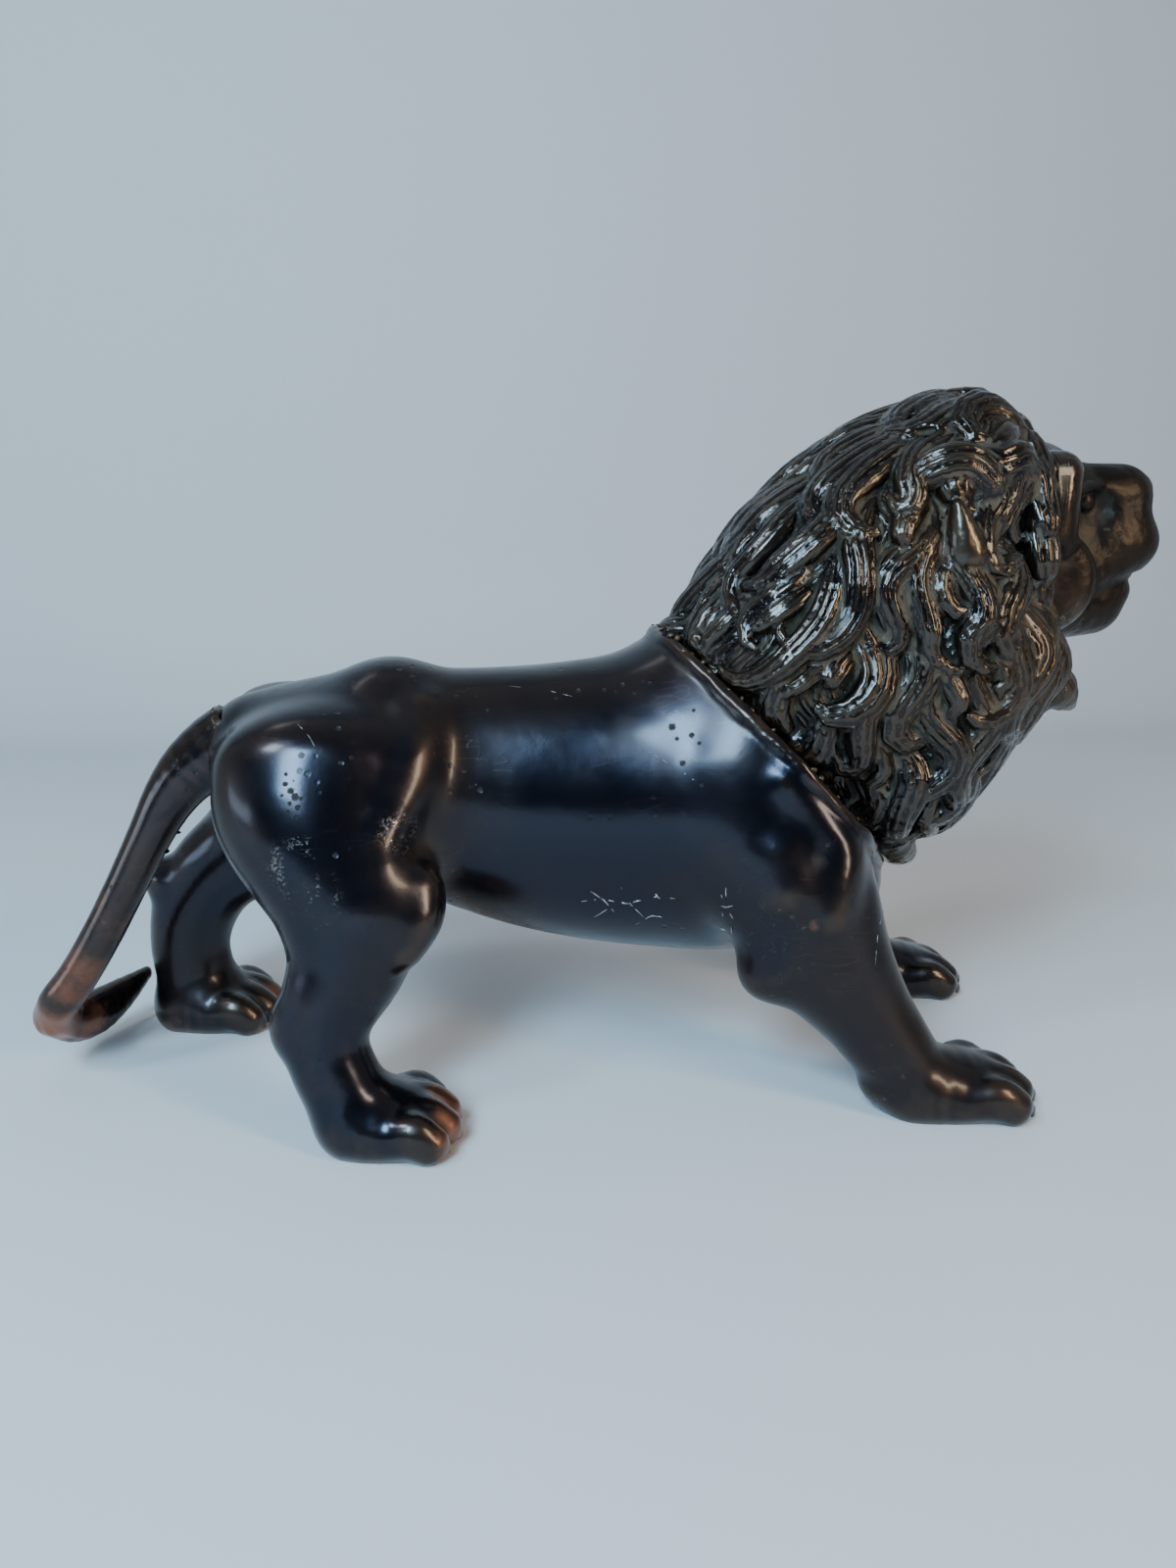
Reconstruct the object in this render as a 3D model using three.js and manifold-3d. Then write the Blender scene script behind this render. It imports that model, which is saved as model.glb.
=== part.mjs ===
// A cast metal lion, standing with its head raised: about 300 mm from nose to tail.
//
// Millimetres. X runs forward, Y to the lion's left and Z up. The soles stand on z = 0.
// Three castings: the body with its four legs, the head with its mane, and the tail.
// Each is modelled as a soft solid (a field that is negative inside), meshed on a grid,
// thinned to a facet budget, and then cut where it meets its neighbour.

import * as THREE from 'three';
import Module from 'manifold-3d';

const wasm = await Module();
wasm.setup();

// Driving dimensions of the whole figure.
const ORIGIN_X = -27.93;
const STANCE = 36.5;
const JOINT_GAP = 0.3;
const NECK_NORMAL = [Math.SQRT1_2, 0, Math.SQRT1_2];
const NECK_OFFSET = 76;
const NECK_CENTRE = [18, 0, 89.5];
const NECK_HALF_LENGTH = 41;
const NECK_HALF_WIDTH = 32.5;
const RIM_RADIUS = 2.2;
const RIM_STEPS = 48;
const RIM_FILLET = 1.5;

// Grid cells and facet budgets of the three castings.
const CELL = { body: 1.9, head: 1.5, tail: 1.3 };
const FACETS = { body: 3500, head: 5500, tail: 640 };

// A station of a limb: its centre, its half width across and its half depth fore and aft.
const station = (x, y, z, side, depth) => [x, y, z, side, depth];

const TORSO = [
  station(-111, 0, 89, 15, 14.5),
  station(-100, 0, 85, 22, 21),
  station(-82, 0, 83, 25, 26),
  station(-60, 0, 78, 25, 31),
  station(-38, 0, 74.5, 28, 35.5),
  station(-16, 0, 73.5, 31, 39),
  station(6, 0, 74, 33, 41),
  station(22, 0, 71, 30, 36),
  station(31, 0, 66, 24, 27),
];
// The stump of the neck rises out of the shoulders.
const NECK = [
  station(1, 0, 72, 31, 36),
  station(12, 0, 83.5, 32, 39.5),
  station(20, 0, 91.5, 32.5, 41),
];
const NECK_FILLET = 10;

const NEAR_HIND = [
  station(-97, -19, 88, 13, 22),
  station(-97, -24, 73, 14, 19.5),
  station(-91, -28, 60, 13, 17.5),
  station(-90, -31, 46, 11, 14.5),
  station(-95, -33.5, 34, 9.5, 11.5),
  station(-96, -35, 25, 9, 10),
  station(-92, -36.5, 14, 9.5, 9.8),
  station(-87, -STANCE, 7, 10, 8),
];

const FAR_HIND = [
  station(-101, 19, 88, 13, 22),
  station(-108, 25, 72, 14, 20),
  station(-118, 30, 58, 12.5, 15.5),
  station(-131, 33, 47, 10.5, 13),
  station(-138, 35, 36, 9.5, 12),
  station(-140.5, 36, 24, 9, 11),
  station(-139, STANCE, 12, 10, 11),
];

const NEAR_FORE = [
  station(10, -22, 88, 12, 20),
  station(14, -27, 70, 14, 21),
  station(20, -31, 54, 13.5, 19),
  station(27, -33.5, 40, 12, 15.5),
  station(36, -35, 27, 10.5, 12),
  station(44, -36.5, 16, 10, 10.5),
  station(51, -STANCE, 8, 10.5, 8.5),
];

const FAR_FORE = [
  station(15, 22, 88, 12, 20),
  station(22, 27, 70, 14, 20.5),
  station(30, 31, 54, 13, 18),
  station(39, 33.5, 40, 11.5, 14.5),
  station(50, 35, 27, 10.5, 11.5),
  station(59, 36.5, 16, 10, 10.5),
  station(66, STANCE, 8, 10.5, 8.5),
];

const LEG_FILLET = 6;

// A swelling: its centre, its radii and the fillet that joins it on, or cuts it out.
const swell = (centre, radii, fillet) => ({ centre, radii, fillet });

// Chest, crest of the rump, haunches and shoulders. The far hind leg stands further back.
const TRUNK_SWELLS = [
  swell([37, 0, 50], [13, 22, 19], 8),
  swell([-79.5, 0, 101.3], [12, 13, 10], 6),
  swell([-96, -19, 77], [24, 15, 20], 14),
  swell([-100, 19, 77], [24, 15, 20], 14),
  swell([12, -23, 76], [20, 14.5, 30], 9),
  swell([16, 23, 76], [20, 14.5, 30], 9),
];
// Knee, hocks, elbows and heels.
const LEG_SWELLS = [
  swell([-79.5, -30, 57.5], [11.5, 9.5, 9], 5),
  swell([-104, -33, 29], [5, 5.5, 7], 4),
  swell([-146, 34, 45], [5.5, 5.5, 6], 4),
  swell([12, -32, 36.5], [8.5, 6.5, 7.5], 5),
  swell([20, 32, 37.5], [8.5, 6.5, 7.5], 5),
  swell([41, -STANCE, 7.5], [5.5, 6.5, 5], 3),
  swell([57, STANCE, 7.5], [5.5, 6.5, 5], 3),
];
// The fold of the flank, and the two muscles of the upper arm with the hollows beside them.
const FOLDS = [
  [station(-71, -18, 97, 4, 5), station(-76, -25, 85, 4, 5.5), station(-83, -30.5, 73, 4, 5.5)],
  [station(23, -29, 76, 3, 5), station(25.5, -33, 62, 3.5, 5), station(25, -34, 50, 3, 5)],
  [station(10.5, -32, 78, 2.5, 5), station(12, -35.4, 66, 3, 5), station(12, -35, 56, 2.5, 4.5)],
];
const FOLD_FILLET = 6;
const HOLLOWS = [
  swell([-74, -36, 71], [6, 5, 8], 7),
  swell([18.5, -42.5, 60], [3.5, 4, 12], 6),
  swell([4.5, -41, 57], [3, 5, 10], 6),
];

// Each paw: where its heel stands, its side and its length to the toe tips.
const PAWS = [
  { heel: -97, y: -STANCE, length: 32 },
  { heel: -150, y: STANCE, length: 34 },
  { heel: 41, y: -STANCE, length: 40 },
  { heel: 56, y: STANCE, length: 40 },
];
// A pad along the paw: share of its length, height of its middle, half width and half depth.
const PAD = [[0.24, 4, 10.6, 7], [0.45, 5, 12.6, 8.6], [0.62, 5, 13, 8]];
const PAD_FILLET = 4;
// Each toe: how far it stands to the side, and how much of the paw's length it reaches.
const TOES = [
  { spread: -10.4, reach: 0.9 },
  { spread: -3.6, reach: 1 },
  { spread: 3.6, reach: 1 },
  { spread: 10.4, reach: 0.9 },
];
// Along a toe: distance behind its tip as a share of the paw, share of the spread, height and sizes.
const TOE = [[0.5, 0.75, 8.5, 4, 4.6], [0.24, 1, 8.6, 4.4, 5.4], [0.13, 1.05, 4, 4.2, 5.2]];
const TOE_FILLET = 1.6;

const TAIL = [
  station(-110, 0, 94, 9, 9.5),
  station(-119, 0, 91, 8.5, 9.5),
  station(-128, 0, 85, 7, 8),
  station(-134.5, 0, 77.5, 5.8, 6.6),
  station(-140, 0, 68, 5.2, 5.5),
  station(-146.5, 0, 55.5, 4.9, 5.1),
  station(-153.5, 0, 42.5, 4.8, 5),
  station(-160.5, 0, 31, 5, 5),
  station(-166.5, 1, 23, 5.2, 5.2),
  station(-169, 6, 17.5, 5, 5),
];
// The tuft is a leaf that swings out past the bend, towards the lion's left.
const TUFT = [
  station(-169.5, 5, 17, 4.6, 4.6),
  station(-168, 13, 12.5, 4.6, 6),
  station(-164, 22, 10.5, 4.4, 6.6),
  station(-159.5, 31, 11.5, 3.4, 5.2),
  station(-154.5, 40, 14, 1.6, 2.2),
];

const TUFT_FILLET = 3;

// The joint at the tail's root: a place on its plane, the plane's normal and the ease of the seat.
const TAIL_ROOT = [-117, 0, 92];
const TAIL_AXIS = [-0.8645, 0, -0.5026];
const SEAT_EASE = 0.15;

// The masses under the mane: neck, crown, chest and withers.
const MANE_MASSES = [
  { centre: [54.5, 0, 118], radii: [28, 37, 46] },
  { centre: [62.8, 0, 156.4], radii: [18.4, 26, 19.8] },
  { centre: [46, 0, 84], radii: [20, 31, 20.5] },
  { centre: [27, 0, 103], radii: [26, 34, 26] },
];
const NAPE = [station(46, 0, 146.6, 29, 21.6), station(30, 0, 131, 32, 22.5), station(15, 0, 113, 30, 20.5)];
const RUFF = [station(72.5, 0, 113, 30, 19), station(60, 0, 98, 26, 12), station(52, 0, 84, 23, 9.6)];
const MANE_BLEND = 10;
const MANE_MIDDLE = [50, 0, 118];
const MANE_LOW = [-20, -48, 46];
const MANE_HIGH = [108, 48, 182];
// The knob over the brow and the one at the withers.
const KNOBS = [swell([74.8, 0, 166.2], [8.2, 13, 8], 2), swell([-6.5, -3, 117.5], [6.5, 8, 5], 1.5)];

// Locks are laid one by one where there is room. Each waves, and hooks round at its tip.
const LOCK = {
  tries: 2400,
  length: 36,
  halfWidth: 5.4,
  halfHeight: 3.6,
  wave: 3.6,
  waveLength: 27,
  waveShift: 2.4,
  hook: 1.9,
  step: 2.6,
  clearance: 5.2,
  shared: 0.5,
  fillet: 0.9,
  fewestPoints: 5,
  hookFrom: 0.55,
  rootLift: -1.6,
  bodyLift: 1.4,
  pastJoint: 7,
};
const GOLDEN_TURN = Math.PI * (3 - Math.sqrt(5));
const FACE_CENTRE = [77, 0, 141];
const FACE_HALF_WIDTH = 25;
const FACE_HALF_HEIGHT = 26;
const FACE_BACK = 66;
// How near the opening for the face locks may start, and how near they may run.
const ROOT_OPENING = 1.08;
const RUN_OPENING = 1.02;
const FRAME_LOCK = { count: 7, start: 0.12, apart: 0.4, turn: 0.62, side: 4.6, depth: 3.4, points: 8 };

// The tufts of the throat, side by side, and the tip of the mane on the chest.
const THROAT = [
  station(79, 0, 116, 6.4, 6),
  station(87, 0, 110.5, 6.8, 6.4),
  station(93.5, 0, 105, 5.8, 5.6),
  station(99, 0, 100.4, 2, 2),
];
const THROAT_PLACES = [-15, -5, 5, 15];
const THROAT_BEND = 0.022;
const THROAT_FILLET = 0.8;
const CHEST_TIP = [station(47, 0, 74, 14, 9), station(52.5, 0, 66, 10, 7), station(57.5, 0, 59.6, 3.6, 3)];
const CHEST_FILLET = 2;

// The face: rounds, blocks and plates, the paired ones given for the left side.
const SKULL = swell([75, 0, 144], [18, 20.5, 21], 5);
const FOREHEAD = swell([84.5, 0, 153], [12.8, 15, 13.4], 3);
const MUZZLE = { centre: [100.8, 0, 146.4], half: [15.6, 12.4, 14.4], edge: 8.8, fillet: 4 };
const LIPS = [
  station(88, 0, 132.5, 15.2, 10.5),
  station(98, 0, 135, 14.6, 10.8),
  station(105.6, 0, 139, 12.8, 9.2),
  station(109, 0, 140.5, 11, 8),
];
const JAW = [
  station(82, 0, 128, 15, 12.5),
  station(95, 0, 125.5, 12.5, 10),
  station(104.5, 0, 125.5, 10, 9),
];
const LOWER_LIP = swell([106, 0, 128.6], [9.2, 9.5, 6.2], 2);
const NOSE = swell([113, 0, 154.4], [5.4, 7, 5], 1.5);
const UPPER_LIP = swell([107, 5.6, 141.2], [11.8, 8.2, 8.8], 3);
const TEMPLE = { centre: [79.6, 13.4, 149], half: [10.6, 8.2, 11], edge: 3.6, fillet: 1.5 };
const CHEEK = { centre: [84.6, 13.4, 131.2], radius: 12.4, half: 6.2, edge: 2.4, fillet: 0.8 };
const SOCKET = swell([97, 14.5, 150], [5, 4, 4.4], 3);
const EYE = swell([94.4, 11.4, 151], [3.2, 3, 2.8], 0.5);
const LIP_LINE = [
  [99, 14.2, 123.2],
  [104, 13.6, 127],
  [108.5, 12, 131],
  [113, 8.4, 133],
  [116, 0, 133.8],
];
const LIP_GROOVE = 1.1;
const FACE_FILLETS = { lips: 3, jaw: 2, line: 0.5 };

// The ears hang as drops in a hollow each, with a rolled forelock above. Given for the left side.
const EAR_HOLLOW = swell([62.5, 37, 141.5], [3.4, 6, 8], 2);
const EAR = [
  station(52.4, 33.5, 148, 2, 1.4),
  station(52.9, 34.8, 143.5, 3.2, 3.2),
  station(53.4, 35.6, 138.4, 3.6, 4.7),
  station(53.5, 35, 136.2, 3, 4),
];
const EAR_FILLET = 0.6;
const FORELOCK = [
  station(42, 26.5, 154.5, 3, 2.6),
  station(49, 29.5, 157, 5, 4.2),
  station(57, 29.4, 157.4, 5.6, 4.8),
  station(64.5, 26.6, 156.2, 5, 4.4),
  station(70, 23, 153.6, 2.6, 2.6),
];
const FORELOCK_FILLET = 0.8;
const SIDES = [-1, 1];

const FINISH = {
  body: { colour: 0x1b1a1f, roughness: 0.3, metalness: 0.9 },
  head_and_mane: { colour: 0x231c17, roughness: 0.36, metalness: 0.9 },
  tail: { colour: 0x38251f, roughness: 0.34, metalness: 0.9 },
};

const FAR = 1e3;

// Small vector helpers.
const add = (a, b) => [a[0] + b[0], a[1] + b[1], a[2] + b[2]];
const sub = (a, b) => [a[0] - b[0], a[1] - b[1], a[2] - b[2]];
const scale = (a, k) => [a[0] * k, a[1] * k, a[2] * k];
const dot = (a, b) => a[0] * b[0] + a[1] * b[1] + a[2] * b[2];
const cross = (a, b) => [
  a[1] * b[2] - a[2] * b[1],
  a[2] * b[0] - a[0] * b[2],
  a[0] * b[1] - a[1] * b[0],
];
const unit = (a) => scale(a, 1 / Math.max(Math.hypot(...a), 1e-9));
const mix = (a, b, t) => a + (b - a) * t;
const clamp01 = (t) => Math.min(Math.max(t, 0), 1);
const smoothstep = (a, b, t) => {
  const s = clamp01((t - a) / (b - a));
  return s * s * (3 - 2 * s);
};
// A repeatable number between 0 and 1 for each pair of whole numbers.
const scatter = (i, j) => {
  const s = Math.sin(i * 12.9898 + j * 78.233) * 43758.5453;
  return s - Math.floor(s);
};

// Union of two fields, with a fillet about as wide as the blend.
function blendMin(a, b, blend) {
  if (blend <= 0) return Math.min(a, b);
  const h = Math.max(blend - Math.abs(a - b), 0) / blend;
  return Math.min(a, b) - h * h * blend * 0.25;
}

// Distance from an ellipse or ellipsoid whose half axes divide the offsets.
function roundDistance(u, v, w, a, b, c) {
  const near = Math.sqrt((u / a) ** 2 + (v / b) ** 2 + (w / c) ** 2);
  const steep = Math.sqrt((u / (a * a)) ** 2 + (v / (b * b)) ** 2 + (w / (c * c)) ** 2);
  return steep < 1e-9 ? -Math.min(a, b, c) : (near * (near - 1)) / steep;
}

// A form with its bounds and its distance function.
function ellipsoid(centre, radii) {
  const low = sub(centre, radii);
  const high = add(centre, radii);
  const [cx, cy, cz] = centre;
  const [a, b, c] = radii;
  return { low, high, distance: (x, y, z) => roundDistance(x - cx, y - cy, z - cz, a, b, c) };
}

// A block with flat faces and round edges.
function block(centre, half, edge) {
  const inner = half.map((h) => h - edge);
  const distance = (x, y, z) => {
    const [u, v, w] = [x, y, z].map((p, k) => Math.abs(p - centre[k]) - inner[k]);
    const outside = Math.hypot(Math.max(u, 0), Math.max(v, 0), Math.max(w, 0));
    return outside + Math.min(Math.max(u, v, w), 0) - edge;
  };
  return { low: sub(centre, half), high: add(centre, half), distance };
}

// A round plate that faces across the lion, with a round edge.
function disc(centre, radius, half, edge) {
  const size = [radius, half, radius];
  const distance = (x, y, z) => {
    const out = Math.hypot(x - centre[0], z - centre[2]) - (radius - edge);
    const side = Math.abs(y - centre[1]) - (half - edge);
    return Math.hypot(Math.max(out, 0), Math.max(side, 0)) + Math.min(Math.max(out, side), 0) - edge;
  };
  return { low: sub(centre, size), high: add(centre, size), distance };
}

// Smooth values between stations.
function spline(stations, t) {
  const last = stations.length - 1;
  const i = Math.min(Math.floor(t * last), last - 1);
  const s = t * last - i;
  const p0 = stations[Math.max(i - 1, 0)];
  const p1 = stations[i];
  const p2 = stations[i + 1];
  const p3 = stations[Math.min(i + 2, last)];
  return p1.map((v, k) => {
    const slopeA = (p2[k] - p0[k]) / 2;
    const slopeB = (p3[k] - v) / 2;
    const rise = p2[k] - v;
    return v + s * (slopeA + s * (3 * rise - 2 * slopeA - slopeB + s * (slopeA + slopeB - 2 * rise)));
  });
}

// A swept form: an ellipse carried along points that each hold centre, half width,
// half depth and the direction of the width.
function sweep(points) {
  const low = [FAR, FAR, FAR];
  const high = [-FAR, -FAR, -FAR];
  for (const p of points) {
    const r = Math.max(p.side, p.depth);
    for (let k = 0; k < 3; k += 1) {
      low[k] = Math.min(low[k], p.at[k] - r);
      high[k] = Math.max(high[k], p.at[k] + r);
    }
  }
  const parts = [];
  for (let i = 0; i + 1 < points.length; i += 1) {
    const a = points[i];
    const b = points[i + 1];
    const run = sub(b.at, a.at);
    const length = Math.hypot(...run);
    const along = scale(run, 1 / length);
    const across = unit(sub(a.across, scale(along, dot(a.across, along))));
    parts.push({ a, b, along, across, up: cross(along, across), length });
  }
  const distance = (x, y, z) => {
    let best = FAR;
    for (const { a, b, along, across, up, length } of parts) {
      const dx = x - a.at[0];
      const dy = y - a.at[1];
      const dz = z - a.at[2];
      const run = dx * along[0] + dy * along[1] + dz * along[2];
      const t = clamp01(run / length);
      const side = mix(a.side, b.side, t);
      const depth = mix(a.depth, b.depth, t);
      const u = dx * across[0] + dy * across[1] + dz * across[2];
      const v = dx * up[0] + dy * up[1] + dz * up[2];
      const d = roundDistance(u, v, run - t * length, side, depth, Math.min(side, depth));
      if (d < best) best = d;
    }
    return best;
  };
  return { low, high, distance };
}

// A limb through its stations, its width across the lion.
function limb(stations, across = [0, 1, 0], steps = 3) {
  const count = (stations.length - 1) * steps;
  const points = [];
  for (let i = 0; i <= count; i += 1) {
    const [x, y, z, side, depth] = spline(stations, i / count);
    points.push({ at: [x, y, z], side, depth, across });
  }
  return sweep(points);
}

// The soft solid: field values on a regular grid.
class Clay {
  constructor(low, high, cell) {
    this.low = low;
    this.cell = cell;
    this.count = low.map((v, k) => Math.ceil((high[k] - v) / cell) + 1);
    this.values = new Float32Array(this.count[0] * this.count[1] * this.count[2]).fill(FAR);
  }

  index(i, j, k) {
    return (k * this.count[1] + j) * this.count[0] + i;
  }

  // Calls change(old value, distance) at each grid point near the form.
  work(form, reach, change) {
    const first = form.low.map((v, k) => Math.max(0, Math.floor((v - reach - this.low[k]) / this.cell)));
    const last = form.high.map((v, k) => {
      const cells = Math.ceil((v + reach - this.low[k]) / this.cell);
      return Math.min(this.count[k] - 1, cells);
    });
    for (let k = first[2]; k <= last[2]; k += 1) {
      for (let j = first[1]; j <= last[1]; j += 1) {
        for (let i = first[0]; i <= last[0]; i += 1) {
          const n = this.index(i, j, k);
          const d = form.distance(
            this.low[0] + i * this.cell,
            this.low[1] + j * this.cell,
            this.low[2] + k * this.cell,
          );
          this.values[n] = change(this.values[n], d);
        }
      }
    }
  }

  add(form, blend = 0) {
    this.work(form, blend + 3 * this.cell, (old, d) => blendMin(old, d, blend));
  }

  carve(form, blend = 0) {
    this.work(form, blend + this.cell, (old, d) => -blendMin(-old, d, blend));
  }

  // Corners of one cell, as grid indices.
  corners(i, j, k) {
    const list = [];
    for (let c = 0; c < 8; c += 1) list.push(this.index(i + (c & 1), j + ((c >> 1) & 1), k + (c >> 2)));
    return list;
  }

  // Fills a corner of each cell in which two sheets of the surface would touch.
  settle(level) {
    const v = this.values;
    for (let round = 0; round < 40; round += 1) {
      let changed = 0;
      for (let k = 0; k + 1 < this.count[2]; k += 1) {
        for (let j = 0; j + 1 < this.count[1]; j += 1) {
          for (let i = 0; i + 1 < this.count[0]; i += 1) {
            const list = this.corners(i, j, k);
            let mask = 0;
            for (let c = 0; c < 8; c += 1) if (v[list[c]] < level) mask |= 1 << c;
            if (CELL_IS_CLEAN[mask]) continue;
            const open = [0, 1, 2, 3, 4, 5, 6, 7].filter((c) => !(mask & (1 << c)));
            open.sort((a, b) => v[list[a]] - v[list[b]]);
            const pick = open.find((c) => CELL_IS_CLEAN[mask | (1 << c)]) ?? open[0];
            v[list[pick]] = level - 1e-3;
            changed += 1;
          }
        }
      }
      if (changed === 0) return;
    }
    throw new Error('the surface does not settle');
  }

  // The closed surface at a level, one vertex in each cell that it crosses.
  surface(level = 0) {
    this.settle(level);
    const [nx, ny, nz] = this.count;
    const v = this.values;
    const ids = new Int32Array(v.length).fill(-1);
    const points = [];
    for (let k = 0; k + 1 < nz; k += 1) {
      for (let j = 0; j + 1 < ny; j += 1) {
        for (let i = 0; i + 1 < nx; i += 1) {
          const list = this.corners(i, j, k);
          const sum = [0, 0, 0];
          let hits = 0;
          for (const [a, b, axis] of CELL_EDGES) {
            const va = v[list[a]] - level;
            const vb = v[list[b]] - level;
            if (va < 0 === vb < 0) continue;
            const t = va / (va - vb);
            sum[0] += (a & 1) + (axis === 0 ? t : 0);
            sum[1] += ((a >> 1) & 1) + (axis === 1 ? t : 0);
            sum[2] += (a >> 2) + (axis === 2 ? t : 0);
            hits += 1;
          }
          if (hits === 0) continue;
          ids[list[0]] = points.length;
          points.push([
            this.low[0] + (i + sum[0] / hits) * this.cell,
            this.low[1] + (j + sum[1] / hits) * this.cell,
            this.low[2] + (k + sum[2] / hits) * this.cell,
          ]);
        }
      }
    }
    const faces = [];
    const step = [1, nx, nx * ny];
    for (let k = 1; k + 1 < nz; k += 1) {
      for (let j = 1; j + 1 < ny; j += 1) {
        for (let i = 1; i + 1 < nx; i += 1) {
          const n = this.index(i, j, k);
          const inside = v[n] < level;
          for (let axis = 0; axis < 3; axis += 1) {
            if (v[n + step[axis]] < level === inside) continue;
            const p = step[(axis + 1) % 3];
            const q = step[(axis + 2) % 3];
            const ring = [ids[n - p - q], ids[n - q], ids[n], ids[n - p]];
            if (!inside) ring.reverse();
            const [a, b, c, d] = ring;
            const gapAC = Math.hypot(...sub(points[a], points[c]));
            const gapBD = Math.hypot(...sub(points[b], points[d]));
            if (gapAC <= gapBD) faces.push([a, b, c], [a, c, d]);
            else faces.push([a, b, d], [b, c, d]);
          }
        }
      }
    }
    return { points, faces };
  }
}

// The twelve edges of a cell: two corners and the axis between them.
const CELL_EDGES = [];
for (let corner = 0; corner < 8; corner += 1) {
  for (let axis = 0; axis < 3; axis += 1) {
    if (!(corner & (1 << axis))) CELL_EDGES.push([corner, corner | (1 << axis), axis]);
  }
}

// For each pattern of inside corners, whether inside and outside are each in one piece.
const CELL_IS_CLEAN = [];
for (let mask = 0; mask < 256; mask += 1) {
  const pieces = (wanted) => {
    const left = new Set();
    for (let c = 0; c < 8; c += 1) if (((mask >> c) & 1) === wanted) left.add(c);
    let count = 0;
    while (left.size > 0) {
      const queue = [left.values().next().value];
      left.delete(queue[0]);
      while (queue.length > 0) {
        const c = queue.pop();
        for (const bit of [1, 2, 4]) {
          if (left.delete(c ^ bit)) queue.push(c ^ bit);
        }
      }
      count += 1;
    }
    return count;
  };
  CELL_IS_CLEAN.push(pieces(1) <= 1 && pieces(0) <= 1);
}

// A least-first queue of edges.
class Queue {
  constructor() {
    this.items = [];
  }

  push(item) {
    const list = this.items;
    let n = list.length;
    list.push(item);
    while (n > 0) {
      const up = (n - 1) >> 1;
      if (list[up].cost <= item.cost) break;
      list[n] = list[up];
      n = up;
    }
    list[n] = item;
  }

  pop() {
    const list = this.items;
    const top = list[0];
    const item = list.pop();
    if (list.length === 0) return top;
    let n = 0;
    for (;;) {
      let child = 2 * n + 1;
      if (child >= list.length) break;
      if (child + 1 < list.length && list[child + 1].cost < list[child].cost) child += 1;
      if (item.cost <= list[child].cost) break;
      list[n] = list[child];
      n = child;
    }
    list[n] = item;
    return top;
  }
}

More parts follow.
